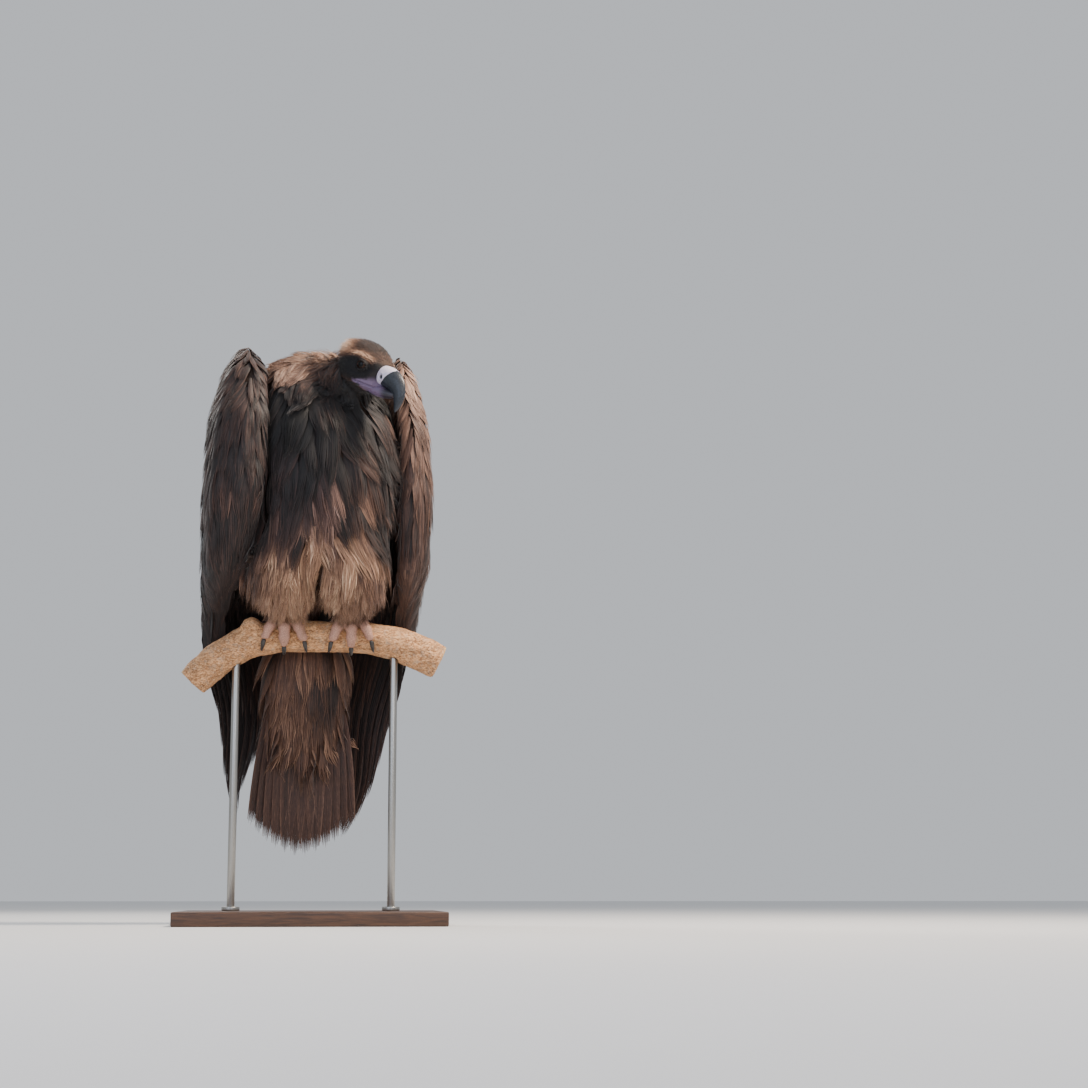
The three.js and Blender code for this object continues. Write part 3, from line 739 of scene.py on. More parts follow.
@dataclass
class Surface:
    """A triangle surface that is asked for its nearest places."""

    points: Array
    normals: Array
    triangles: Array

    def __post_init__(self) -> None:
        """Builds a search tree over the triangles."""
        self.tree = BVHTree.FromPolygons(self.points.tolist(), self.triangles.tolist(), all_triangles=True)

    def middles(self) -> Array:
        """The triangles' middles."""
        return self.points[self.triangles].mean(1)

    def facing(self) -> Array:
        """The triangles' outward ways."""
        return unit(self.normals[self.triangles].mean(1))

    def nearest(self, places: Array) -> tuple[Array, Array, Array, Array]:
        """Finds the surface's nearest places.

        Args:
            places: Rows of three numbers.

        Returns:
            The places on the surface, their normals, their triangles and the weights of the corners.
        """
        found = [self.tree.find_nearest(place) for place in places.tolist()]
        hits = np.array([hit[0] for hit in found])
        ids = np.array([hit[2] for hit in found])
        weights = self.weights(hits, ids)
        normals = unit(np.einsum("nc,nck->nk", weights, self.normals[self.triangles[ids]]))
        return hits, normals, ids, weights

    def weights(self, hits: Array, ids: Array) -> Array:
        """Finds the barycentric weights of places on triangles.

        Args:
            hits: The places.
            ids: Their triangles.

        Returns:
            Three weights for each place.
        """
        a, b, c = (self.points[self.triangles[ids, i]] for i in range(3))
        across = np.cross(b - a, c - a)
        area = np.maximum((across ** 2).sum(-1), 1e-20)
        second = (np.cross(hits - a, c - a) * across).sum(-1) / area
        third = (np.cross(b - a, hits - a) * across).sum(-1) / area
        return np.clip(np.stack([1 - second - third, second, third], -1), 0, 1)

    def scatter(self, share: Array, spacing: Array, rng: np.random.Generator) -> tuple[Array, Array]:
        """Spreads places evenly over part of the surface.

        Args:
            share: For each triangle, 1 where places are wanted and 0 where they aren't.
            spacing: For each triangle, the least distance between two places.
            rng: The draws.

        Returns:
            The places and their triangles.
        """
        a, b, c = (self.points[self.triangles[:, i]] for i in range(3))
        area = np.linalg.norm(np.cross(b - a, c - a), axis=-1) / 2 * share
        wanted = area / spacing ** 2
        count = int(wanted.sum() * 4) + 8
        if wanted.sum() <= 0:
            return np.zeros((0, 3)), np.zeros(0, int)
        ids = rng.choice(len(area), count, p=wanted / wanted.sum())
        weights = rng.dirichlet((1, 1, 1), count)
        places = np.einsum("nc,nck->nk", weights, self.points[self.triangles[ids]])
        kept = thinned(places, spacing[ids])
        return places[kept], ids[kept]


def surface_of(piece: Piece) -> Surface:
    """The surface of an object's mesh."""
    return Surface(mesh_points(piece), mesh_normals(piece), mesh_triangles(piece))


def thinned(places: Array, spacing: Array) -> Array:
    """Keeps places that stand clear of all earlier ones.

    Args:
        places: Rows of three numbers.
        spacing: How clear each has to stand.

    Returns:
        The numbers of the places that are kept.
    """
    cell = float(spacing.max())
    grid: dict[tuple[int, ...], list[tuple[float, ...]]] = {}
    around = list(product((0, -1, 1), repeat=3))
    kept = []
    keys = np.floor(places / cell).astype(int).tolist()
    for i, ((x, y, z), (kx, ky, kz), gap) in enumerate(zip(places.tolist(), keys, (spacing ** 2).tolist())):
        if all((ox - x) ** 2 + (oy - y) ** 2 + (oz - z) ** 2 >= gap for dx, dy, dz in around
               for ox, oy, oz in grid.get((kx + dx, ky + dy, kz + dz), ())):
            kept.append(i)
            grid.setdefault((kx, ky, kz), []).append((x, y, z))
    return np.array(kept, int)


def mound(places: Array, size: float, first: Sequence[float], last: Sequence[float] | None = None) -> Array:
    """Gives a smooth rise round a place, or along the line from one place to another.

    Args:
        places: Where the rise is asked for.
        size: How wide it is.
        first: The place, or the line's start.
        last: The line's end.

    Returns:
        The rise from 0 to 1.
    """
    off = places - np.array(first, float)
    if last is not None:
        way = np.array(last, float) - np.array(first, float)
        off = off - np.clip((off @ way) / (way @ way), 0, 1)[:, None] * way
    return np.exp(-(off ** 2).sum(-1) / size ** 2)


# ---- markings


@dataclass
class Markings:
    """Where the plumage is dark, worn pale or sandy, and where light and shade are painted on; the same
    answers serve skin and feathers.

    Tones run from 0 (black) to 1 (bleached).
    """

    head: HeadFrame
    plain: float = 0.28
    belly: float = 0.68
    under_tail: float = 0.36
    wing_plain: float = 0.16
    face_plain: float = 0.3
    face_patch: float = -0.26
    throat_tone: float = -0.04

    def body(self, places: Array) -> tuple[Array, Array]:
        """Tone and warmth of trunk, neck, thighs and tail coverts.

        Args:
            places: World places.

        Returns:
            Tone and warmth.
        """
        x, y, z = in_body(places).T
        front = ease(-0.01, -0.07, y)
        lit = ease(-0.015, 0.045, x + 0.25 * (z - 0.78)) * ease(0.57, 0.64, z) * front
        tone = self.plain + 0.08 * lit * ease(0.93, 0.86, z)
        # The breast is nearly black on the bird's right: dark plumage, partly painted shade from the head.
        edge = 0.008 + 0.42 * (z - 0.8) + 0.008 * np.sin(70 * z)
        dark = ease(0.022, -0.018, x - edge) * ease(0.66, 0.76, z) * ease(0.94, 0.915, z)
        # Painted shade under the head and along the left wing.
        shade_under_head = np.exp(-((x - 0.05) / 0.05) ** 2 - ((z - 0.89) / 0.035) ** 2)
        shade_by_wing = ease(0.05, 0.068, x - 0.1 * (0.85 - z)) * ease(0.6, 0.66, z)
        tone = tone - np.clip(0.27 * dark + 0.24 * shade_under_head + 0.3 * shade_by_wing, 0, 0.36) * front
        # The nape is paler: partly its own down, partly painted sunlight from above.
        nape = ease(0.915, 0.95, z) * ease(-0.13, -0.09, y - 0.6 * np.maximum(x, 0))
        tone = tone + 0.36 * nape
        # Sandy belly and trousers with a ragged upper edge, brown at their flanks and behind.
        ragged = z + 0.016 * np.sin(95 * x + 1) + 0.011 * np.sin(230 * x)
        sandy = ease(0.69, 0.61, ragged) * np.exp(-((x + 0.02) / 0.1) ** 4) * ease(0.03, -0.03, y)
        brown = ease(0.66, 0.6, ragged) * (1 - sandy)
        tone = tone + 0.14 * brown
        tone = tone * (1 - sandy) + self.belly * sandy
        under = ease(0.56, 0.5, z) * ease(0.0, 0.05, y)
        tone = tone * (1 - under) + self.under_tail * under
        return tone, np.clip(0.85 * sandy + 0.35 * lit + 0.4 * nape + 0.3 * brown + 0.3 * under, 0, 1)

    def wing(self, places: Array) -> tuple[Array, Array]:
        """Tone and warmth of the wings: paler at the top and front margin, painted sunlit on the left and by
        the nape.

        Args:
            places: World places.

        Returns:
            Tone and warmth.
        """
        x, y, z = in_body(places).T
        front = ease(0.03, -0.05, y)
        top = ease(0.82, 0.95, z)
        # Painted sunlight by the nape and on the bird's left wing, brightest high and in front.
        left = ease(-0.05, 0.05, x)
        nape = ease(0.915, 0.965, z) * ease(0.085, 0.06, np.abs(x))
        sunlit = left * front * (0.07 + 0.17 * ease(0.74, 0.9, z))
        tone = self.wing_plain + 0.06 * left + 0.06 * front + 0.16 * top + sunlit + 0.22 * nape
        return tone, 0.2 + 0.1 * left

    def face(self, places: Array) -> tuple[Array, Array, Array]:
        """Tone and warmth of the head's down, and the share of the bare-looking dark patch.

        Args:
            places: World places.

        Returns:
            Tone, warmth and the dark patch's share.
        """
        x, y, z = self.head.within(places).T
        side = np.abs(y)
        patch = np.exp(-(((x - 5) / 33) ** 2 + ((z - 1) / 18) ** 2) ** 3) * ease(12, 22, side)
        throat = ease(-16, -24, z) * ease(-36, -16, x)
        lores = ease(26, 36, x) * ease(22, 12, z)
        patch = np.clip(np.maximum(patch, 0.9 * lores), 0, 1)
        brow_line = np.abs(z - (24 - 0.012 * (x - 8) ** 2)) / 4.5
        brow = np.exp(-brow_line ** 2) * ease(-16, 0, x) * ease(52, 34, x)
        brow = brow * ease(14, 22, side)
        crown = ease(27, 36, z) * ease(-22, -6, x)
        tone = self.face_plain + 0.75 * self.bulge(x, z) + 0.55 * brow - 0.18 * crown
        tone = tone * (1 - patch) + self.face_patch * patch
        tone = tone * (1 - throat) + self.throat_tone * throat
        return np.clip(tone, self.face_patch, 1), 0.75 * (1 - patch), patch

    @staticmethod
    def bulge(x: Array, z: Array) -> Array:
        """Share of the pale, fuller down at the back of the crown, by head mm; pale partly as painted light
        from above.
        """
        return np.exp(-((x + 28) / 17) ** 2 - ((z - 31) / 13) ** 2)


# ---- the one skin


class Region(Enum):
    """Parts of the flesh, by how deep the skin lies under the coat."""

    TRUNK = "trunk"
    RUFF = "ruff"
    NECK = "neck"
    HEAD = "head"
    WING = "wing_arm"
    THIGH = "thigh"
    COVERTS = "tail_coverts"
    BILL = "bill"
    LEG = "leg"

    @classmethod
    def of_node(cls, name: str) -> "Region":
        """Says which part of the flesh a CAD node belongs to.

        Args:
            name: The node's name.

        Returns:
            The region.
        """
        if name.startswith("eye"):
            return cls.HEAD
        if name == "cere":
            return cls.BILL
        return next((region for region in cls if name.startswith(region.value)), cls.LEG)


@dataclass(frozen=True)
class Form:
    """One form of the face, in head mm: how high it rises, how wide it is, and where it starts and ends."""

    lift: float
    size: float
    first: tuple[float, float, float]
    last: tuple[float, float, float] | None = None


@dataclass
class Skin:
    """The one skin under all the plumage, with folds, lids and gape worked into the head.

    The envelope is the flesh's smoothed outside, where the feathers' outline runs. The skin has the same
    faces and lies under it by the depth of the coat.
    """

    head: HeadFrame
    marks: Markings
    swell_mm: float = 0.6
    voxel_mm: float = 4.4
    smoothing: int = 9
    depth_rounds: int = 12
    depths_mm: dict[Region, float] = field(default_factory=lambda: {
        Region.TRUNK: 10, Region.RUFF: 15, Region.NECK: 9, Region.HEAD: 3.2, Region.WING: 8,
        Region.THIGH: 12, Region.COVERTS: 9, Region.BILL: 3.5, Region.LEG: -2.0})
    branch_y: float = 0.012  # the branch's axis under the feet, and how far round it the toes run
    branch_z: float = 0.504
    toe_round: float = 0.038
    knuckle_gap: float = 0.0165
    knuckle_mm: float = 1.5
    forms: dict[str, Form] = field(default_factory=lambda: {
        "brow": Form(3.0, 5.5, (32, 25, 18), (2, 33, 21)), "cheek": Form(1.6, 15, (-6, 37, -8)),
        "back of the crown": Form(4.5, 17, (-29, 20, 32)), "lores": Form(-2.2, 8, (32, 25, 4)),
        "groove under the eye": Form(-1.2, 5, (24, 34, -6), (-2, 38, -3))})
    finely_cut: tuple = (((2, 0, 0), (58, 46, 48)), ((22, 0, 0), (34, 50, 26)))  # middles, half sizes
    piece: Piece = None
    envelope: Surface = None
    regions: Array = None
    unwrap: Array = None

    flesh = ("head", "neck", "ruff", "trunk", "tail_coverts", "wing_arm_left", "wing_arm_right", "thigh_left",
             "thigh_right", "shank_left", "shank_right", "foot_left", "foot_right",
             *(f"toe_{toe}_{side}" for toe in ("hind", "inner", "middle", "outer") for side in SIDES))
    filling = ("eye_left", "eye_right", "cere", "bill_lower", "bill_upper")

    def build(self) -> None:
        """Makes the skin from copies of the flesh nodes."""
        self.piece = copy_of_nodes([*self.flesh, *self.filling], "skin")
        swell(self.piece, self.swell_mm)
        apply_modifier(self.piece, "REMESH", mode="VOXEL", voxel_size=self.voxel_mm * MM)
        self.keep_outside()
        self.refine_head()
        apply_modifier(self.piece, "SMOOTH", factor=0.5, iterations=self.smoothing)
        self.envelope = surface_of(self.piece)
        points, normals = self.envelope.points, self.envelope.normals
        edges = read_all(self.piece.data.edges, "vertices", 2, np.int32)
        self.regions = self.nearest_regions(points)
        depth = np.array([self.depths_mm[region] for region in Region])[self.regions]
        depth = spread(depth, edges, self.depth_rounds) * MM - self.knuckles(points) * self.among(Region.LEG)
        points = points - normals * depth[:, None]
        set_points(self.piece, points)
        points = self.shape_face(points, mesh_normals(self.piece))
        set_points(self.piece, points)
        self.paint(points, edges)
        self.unfold()

    def among(self, *wanted: Region) -> Array:
        """Which vertices belong to one of the regions."""
        return np.isin(self.regions, [list(Region).index(region) for region in wanted])

    def select_points(self, chosen: Array) -> None:
        """Enters edit mode with only some vertices selected.

        Args:
            chosen: For each vertex, whether it is one of them.
        """
        make_active(self.piece)
        set_mode("EDIT")
        bpy.ops.mesh.select_mode(type="VERT")
        bpy.ops.mesh.select_all(action="DESELECT")
        set_mode("OBJECT")
        self.piece.data.vertices.foreach_set("select", chosen)
        set_mode("EDIT")

    def keep_outside(self) -> None:
        """Deletes bubbles, keeping the shell that the highest vertex belongs to."""
        heights = mesh_points(self.piece)[:, 2]
        self.select_points(np.arange(len(heights)) == heights.argmax())
        bpy.ops.mesh.select_linked()
        bpy.ops.mesh.select_all(action="INVERT")
        bpy.ops.mesh.delete(type="VERT")
        set_mode("OBJECT")

    def refine_head(self) -> None:
        """Subdivides the head, and once more round the eyes and the gape."""
        for middle, half in self.finely_cut:
            points = self.head.within(mesh_points(self.piece))
            self.select_points((np.abs(points - np.array(middle)) < np.array(half)).all(-1))
            bpy.ops.mesh.select_mode(type="FACE")
            bpy.ops.mesh.subdivide(number_cuts=1, ngon=False, quadcorner="INNERVERT")
            bpy.ops.mesh.select_mode(type="VERT")
            set_mode("OBJECT")

    def knuckles(self, points: Array) -> Array:
        """Finds how far the toes' pads and joints stand out, by the way round the branch.

        Args:
            points: World places.

        Returns:
            The rise in metres.
        """
        _, y, z = points.T
        round_way = np.arctan2(self.branch_y - y, z - self.branch_z) * self.toe_round
        wave = 0.5 + 0.5 * np.cos(round_way / self.knuckle_gap * 2 * math.pi)
        return self.knuckle_mm * MM * wave * ease(0.552, 0.545, z)

    def nearest_regions(self, points: Array) -> Array:
        """Finds the region whose CAD node is nearest.

        Args:
            points: World places.

        Returns:
            The region's number for each place.
        """
        names = (*self.flesh, *self.filling)
        tree, owner = tree_of_nodes(names)
        numbers = np.array([list(Region).index(Region.of_node(name)) for name in names])[owner]
        return np.array([numbers[tree.find_nearest(place)[2]] for place in points.tolist()])

    def shape_face(self, points: Array, normals: Array) -> Array:
        """Works brows, cheeks, lores, gape and lids into the head.

        Args:
            points: The skin's vertices.
            normals: Their normals.

        Returns:
            The new vertices.
        """
        spot = self.head.within(points)
        near = (np.abs(spot) < (70, 50, 50)).all(-1) & ~self.among(Region.WING)
        mirror = np.abs(spot * (0, 1, 0)) + spot * (1, 0, 1)
        x, side, _ = mirror.T
        lift = sum(form.lift * mound(mirror, form.size, form.first, form.last)
                   for form in self.forms.values())
        above, _ = self.head.gape(spot)
        reach = ease(-1, 7, x) * ease(64, 52, x) * ease(6, 10, side)
        # A rim over the mouth, a thicker one under it and a sharp groove between; then folds below.
        for height, middle, width in ((1.5, 2.6, 1.6), (1.7, -2.6, 1.8), (-2.4, 0, 1.1)):
            lift = lift + reach * height * np.exp(-((above - middle) / width) ** 2)
        fold = np.sin(above * 1.9 + 0.25 * x) * ease(3, 6, -above) * ease(16, 10, -above)
        lift = lift + 0.5 * fold * reach
        moved = points + normals * (lift * near * self.head.size * MM)[:, None]
        return self.tuck_under_bill(self.shape_lids(moved, near))

    def tuck_under_bill(self, points: Array) -> Array:
        """Draws the skin in where the bill's own parts cover it.

        Args:
            points: The skin's vertices.

        Returns:
            The new vertices.
        """
        spot = self.head.within(points)
        x, y, z = spot.T
        slim = 1 - 0.45 * ease(33, 45, x)
        middle = np.where(z > -14, 0.0, -16.0)  # the upper and the lower bill's own heights
        tucked = np.stack([np.minimum(x, 46 + 0.12 * (x - 46)), y * slim, middle + (z - middle) * slim], -1)
        covered = (x > 30) & (np.abs(y) < 40) & (z < 40) & (z > -60)
        return np.where(covered[:, None], self.head.place(tucked), points)

    def shape_lids(self, points: Array, near: Array) -> Array:
        """Wraps lids round both eyeballs and hides the skin behind them.

        Args:
            points: The skin's vertices.
            near: Which of them belong to the head.

        Returns:
            The new vertices.
        """
        radius = self.head.eye_radius
        lid_radius = radius * 1.13
        spot = self.head.within(points)
        for sign in SIDES.values():
            axis = unit(np.array([0.24, sign * 1.0, 0.1]))
            fore = unit(np.array([1.0, 0, 0]) - axis * axis[0])
            upward = np.cross(axis, fore) * sign * -1
            off = spot - self.head.eye * (1, sign, 1)
            depth, u, v = off @ axis, off @ fore, off @ upward
            flat = np.hypot(u, v)
            opening = np.sqrt((u / (0.84 * radius)) ** 2 + ((v + 0.14 * radius) / (0.56 * radius)) ** 2)
            mine = near & (depth > -2) & (flat < 2.2 * radius)
            behind = np.sqrt(np.maximum(radius ** 2 - flat ** 2, 0)) - 1.6
            lid = np.sqrt(np.maximum(lid_radius ** 2 - flat ** 2, 0)) + 0.25
            inner = ease(0.98, 1.06, opening)
            height = behind * (1 - inner) + lid * inner
            blend = ease(1.35, 2.1, opening)
            target = np.where(opening < 1.0, behind, height * (1 - blend) + depth * blend)
            target = np.where(flat < lid_radius, target, depth)
            crease = -0.8 * np.exp(-((opening - 1.55) / 0.14) ** 2)
            step = np.where(mine, target + crease - depth, 0)
            spot = spot + step[:, None] * axis
        return np.where(near[:, None], self.head.place(spot), points)

    def paint(self, points: Array, edges: Array) -> None:
        """Stores the coat's markings and the bare parts on the skin.

        Args:
            points: The skin's vertices.
            edges: Pairs of vertex numbers.
        """
        tone, warm = self.marks.body(points)
        face_tone, face_warm, patch = self.marks.face(points)
        on_wing = spread(self.among(Region.WING).astype(float), edges, 4)
        on_head = spread(self.among(Region.HEAD, Region.BILL).astype(float), edges, 6)
        on_leg = spread(self.among(Region.LEG).astype(float), edges, 2)
        for share, (own_tone, own_warm) in ((on_wing, self.marks.wing(points)),
                                            (on_head, (face_tone, face_warm))):
            tone, warm = tone + (own_tone - tone) * share, warm + (own_warm - warm) * share
        spot = self.head.within(points)
        above, reach = self.head.gape(spot)
        lilac = on_head * ease(-1, 6, spot[:, 0]) * np.exp(-np.abs(above / reach) ** 4)
        # The skin takes the coat's tone at under half, as painted shade between the feathers.
        set_colours(self.piece, PLUME, tone * 0.45, warm)
        set_colours(self.piece, BARE, patch * on_head, lilac, on_leg)

    def unfold(self) -> None:
        """Unwraps the skin's own shape for the bake map."""
        make_active(self.piece)
        mesh = self.piece.data
        mesh.uv_layers.active = mesh.uv_layers.new(name=BAKE_MAP)
        set_mode("EDIT", "SELECT")
        bpy.ops.uv.smart_project(angle_limit=math.radians(66), island_margin=0.004)
        set_mode("OBJECT")
        places = read_all(mesh.uv_layers[BAKE_MAP].uv, "vector", 2)
        self.unwrap = places[mesh_triangles(self.piece, "loops")]
        mesh.shade_smooth()

    def root_uv(self, places: Array) -> Array:
        """Places on the unwrap of the skin under the given places."""
        _, _, ids, weights = self.envelope.nearest(places)
        return np.einsum("nc,nck->nk", weights, self.unwrap[ids])

    def region_share(self, *wanted: Region) -> Array:
        """For each triangle of the envelope, 1 where all its corners lie in one of the regions."""
        return self.among(*wanted)[self.envelope.triangles].all(-1).astype(float)

    def finish(self) -> None:
        """Dresses the skin and hands it over for all the nodes of flesh."""
        settle(self.piece, SkinFinish().material(), self.flesh)


# ---- feathers


@dataclass(frozen=True)
class Cut:
    """How one kind of feather is cut from strips of barbs; widths are shares of half its width."""

    strips: int = 5
    rows: int = 6
    widest: float = 0.42  # the share of the length where the feather is widest
    root: float = 0.4
    blunt: float = 0.16
    fray: float = 0.5  # from this share of the length on, the strips part
    ragged: float = 0.22  # how much earlier some strips end
    splay: float = 0.2
    drift: float = 0.16
    camber: float = 0.22
    thick_mm: float = 0.5
    taper: float = 1.6
    streak: float = 0.05  # how far the strips' tones stray

    def half_width(self, share: Array) -> Array:
        """Gives the outline's half width, 1 at its widest.

        Args:
            share: Shares of the length.

        Returns:
            The half widths.
        """
        rise = self.root + (1 - self.root) * ease(0, self.widest, share)
        fall = np.clip((share - self.widest) / (1 - self.widest), 0, 1) ** 1.8
        return rise * (1 - (1 - self.blunt) * fall)


def between(values: Array, row: Array, part: Array) -> Array:
    """Values at a part of the way from one row of each feather to the next."""
    who = np.arange(len(values))[:, None, None]
    return values[who, row] * (1 - part) + values[who, row + 1] * part


@dataclass
class Rails:
    """Centre lines of many feathers: places and outward normals, row by row from root to tip."""

    places: Array
    outward: Array

    def aside(self) -> Array:
        """The ways across the feathers."""
        return np.cross(unit(np.gradient(self.places, axis=1)), self.outward)

    def tilted(self, angles: Array) -> "Rails":
        """Rolls each feather about its own line.

        Args:
            angles: One angle in radians for each feather.

        Returns:
            The new rails.
        """
        c, s = np.cos(angles)[:, None, None], np.sin(angles)[:, None, None]
        return Rails(self.places, self.outward * c + self.aside() * s)

    def lengths(self) -> Array:
        """Each feather's length."""
        return np.linalg.norm(np.diff(self.places, axis=1), axis=-1).sum(-1)


@dataclass
class Plumage:
    """Collects cut feathers and joins them into one mesh of thin closed strips.

    A strip has three corners in each row: its two edges and a keel under them.
    """

    title: str
    points: list[Array] = field(default_factory=list)
    quads: list[Array] = field(default_factory=list)
    tris: list[Array] = field(default_factory=list)
    vane: list[Array] = field(default_factory=list)
    bake: list[Array] = field(default_factory=list)
    marks: list[Array] = field(default_factory=list)
    count: int = 0

    row_faces = np.array([[0, 1, 4, 3], [1, 2, 5, 4], [2, 0, 3, 5]])

    def add(self, rails: Rails, widths: Array, tone: Array, warm: Array, root_uv: Array, cut: Cut,
            rng: np.random.Generator) -> None:
        """Cuts one feather along every rail.

        Args:
            rails: The feathers' centre lines.
            widths: Full widths.
            tone: Tone of each feather.
            warm: Warmth of each feather.
            root_uv: Places of the roots on the skin's unwrap.
            cut: The kind of feather.
            rng: The draws.
        """
        total, steps = rails.places.shape[:2]
        strips, rows = cut.strips, cut.rows
        along = unit(np.gradient(rails.places, axis=1))
        outward = unit(rails.outward - along * (along * rails.outward).sum(-1, keepdims=True))
        edges = np.tile(np.linspace(-1, 1, strips + 1), (total, 1))
        edges[:, 1:-1] += rng.uniform(-0.5, 0.5, (total, strips - 1)) / strips
        centre = (edges[:, :-1] + edges[:, 1:]) / 2
        half = (edges[:, 1:] - edges[:, :-1]) / 2
        ends = 1 - cut.ragged * (0.5 * rng.random((total, strips)) + 0.5 * np.abs(centre) ** 1.5)
        ends[:, strips // 2] = 1
        share = ends[..., None] * np.linspace(0, 1, rows)
        parted = np.clip((share - cut.fray) / np.maximum(ends[..., None] - cut.fray, 0.05), 0, 1)
        spot = share * (steps - 1)
        row = np.clip(spot.astype(int), 0, steps - 2)
        line, aside, out = (between(values, row, (spot - row)[..., None])
                            for values in (rails.places, np.cross(along, outward), outward))
        wide = cut.half_width(share) * (widths / 2)[:, None, None]
        drift = rng.uniform(-1, 1, (total, strips))[..., None] * cut.drift * parted ** 2
        middle = centre[..., None] * (1 + cut.splay * parted ** 2) + drift
        slim = half[..., None] * (1 - 0.94 * parted ** cut.taper)
        lift = rng.uniform(-0.5, 1, (total, strips))[..., None] * cut.drift * parted ** 2 * wide
        made = [line + aside * (edge * wide)[..., None]
                + out * (lift - cut.camber * edge ** 2 * wide)[..., None]
                for edge in (middle - slim, middle + slim)]
        keel = cut.thick_mm * MM * (1 - 0.75 * parted)
        made.append((made[0] + made[1]) / 2 - out * keel[..., None])
        edge = np.stack([middle - slim, middle + slim, middle], 3)
        length = rails.lengths()[:, None, None, None]
        down = np.broadcast_to(share[..., None], edge.shape)
        vane = np.stack([edge * wide[..., None], down * length], -1) / VANE_UNIT
        bake = root_uv[:, None, None, None, :] + np.stack([edge * 0.5, down - 0.5], -1) * PATCH
        shade = tone[:, None] + rng.uniform(-cut.streak, cut.streak, (total, strips))
        marks = np.stack(np.broadcast_arrays(shade[..., None, None], warm[:, None, None, None],
                                             np.minimum(np.abs(edge), 1), down), -1)
        start = self.count + np.arange(total * strips)[:, None, None] * rows * 3
        faces = start[..., None] + np.arange(rows - 1)[None, :, None, None] * 3 + self.row_faces
        caps = np.array([[0, 2, 1], [3 * rows - 3, 3 * rows - 2, 3 * rows - 1]])
        for kept, values, width in ((self.quads, faces, 4), (self.tris, start + caps, 3),
                                    (self.points, np.stack(made, 3), 3), (self.vane, vane, 2),
                                    (self.bake, bake, 2), (self.marks, marks, 4)):
            kept.append(values.reshape(-1, width))
        self.count += total * strips * rows * 3

    def build(self, slot: str, finish: Finish, replaced: Sequence[str] = ()) -> None:
        """Joins the feathers into one object and hands it over.

        Args:
            slot: The record's material slot; not used.
            finish: The feathers' finish.
            replaced: CAD nodes that the feathers stand for.
        """
        points = np.concatenate(self.points).astype(np.float32)
        quads, tris = np.concatenate(self.quads), np.concatenate(self.tris)
        loops = np.concatenate([quads.ravel(), tris.ravel()]).astype(np.int32)
        starts = np.concatenate([np.arange(len(quads)) * 4, len(quads) * 4 + np.arange(len(tris)) * 3])
        mesh = bpy.data.meshes.new(self.title)
        mesh.vertices.add(len(points))
        mesh.vertices.foreach_set("co", points.ravel())
        mesh.loops.add(len(loops))
        mesh.loops.foreach_set("vertex_index", loops)
        mesh.polygons.add(len(starts))
        mesh.polygons.foreach_set("loop_start", starts.astype(np.int32))
        mesh.update(calc_edges=True)
        for name, places in ((VANE_MAP, self.vane), (BAKE_MAP, self.bake)):
            layer = mesh.uv_layers.new(name=name)
            layer.uv.foreach_set("vector", np.concatenate(places)[loops].astype(np.float32).ravel())
        mesh.polygons.foreach_set("use_smooth", np.ones(len(starts), bool))
        mesh.set_sharp_from_angle(angle=math.radians(50))
        piece = bpy.data.objects.new(self.title, mesh)
        bpy.context.scene.collection.objects.link(piece)
        set_colours(piece, PLUME, *np.concatenate(self.marks).T)
        settle(piece, finish.material(), replaced)


# ---- tracts of contour feathers


def bed_of(names: Sequence[str], voxel_mm: float, smoothing: int, grow_mm: float) -> Surface:
    """Smooths copies of CAD nodes into one surface that feathers can lie on.

    Args:
        names: The nodes.
        voxel_mm: How finely they are fused.
        smoothing: How often the surface is smoothed.
        grow_mm: How far the copies swell first, which bridges gaps of twice that.

    Returns:
        The surface.
    """
    copy = copy_of_nodes(names, "bed")
    swell(copy, grow_mm)
    apply_modifier(copy, "REMESH", mode="VOXEL", voxel_size=voxel_mm * MM)
    apply_modifier(copy, "SMOOTH", factor=0.5, iterations=smoothing)
    surface = surface_of(copy)
    bpy.data.objects.remove(copy)
    return surface


def wing_nodes(side: str, *parts: str) -> list[str]:
    """Names of CAD nodes of one folded wing."""
    return [f"wing_{part}_{side}" for part in parts]


def trace(surface: Surface, roots: Array, lay: Lay, lengths: Array, steps: int, hang: float) -> Rails:
    """Runs lines over a surface along the lie of the feathers.

    Args:
        surface: What the feathers lie on.
        roots: Where they start.
        lay: Gives the wished ways at places.
        lengths: The feathers' lengths.
        steps: How many steps each line has.
        hang: 0 to hug the surface, 1 to hang free where it turns away.

    Returns:
        The lines.
    """
    places, normals, _, _ = surface.nearest(roots)
    lines, outward = [places], [normals]
    heading = None
    for _ in range(steps):
        wish = lay(places)
        lean = (wish * normals).sum(-1, keepdims=True)
        wish = unit(wish - normals * lean * np.where(lean > 0, 1 - hang, 1))
        heading = wish if heading is None else unit(0.4 * heading + 0.6 * wish)
        ahead = places + heading * (lengths / steps)[:, None]
        hits, normals, _, _ = surface.nearest(ahead)
        gap = np.maximum(((ahead - hits) * normals).sum(-1, keepdims=True), 0)
        places = hits + normals * gap * hang
        lines.append(places)
        outward.append(normals)
    return Rails(np.stack(lines, 1), np.stack(outward, 1))


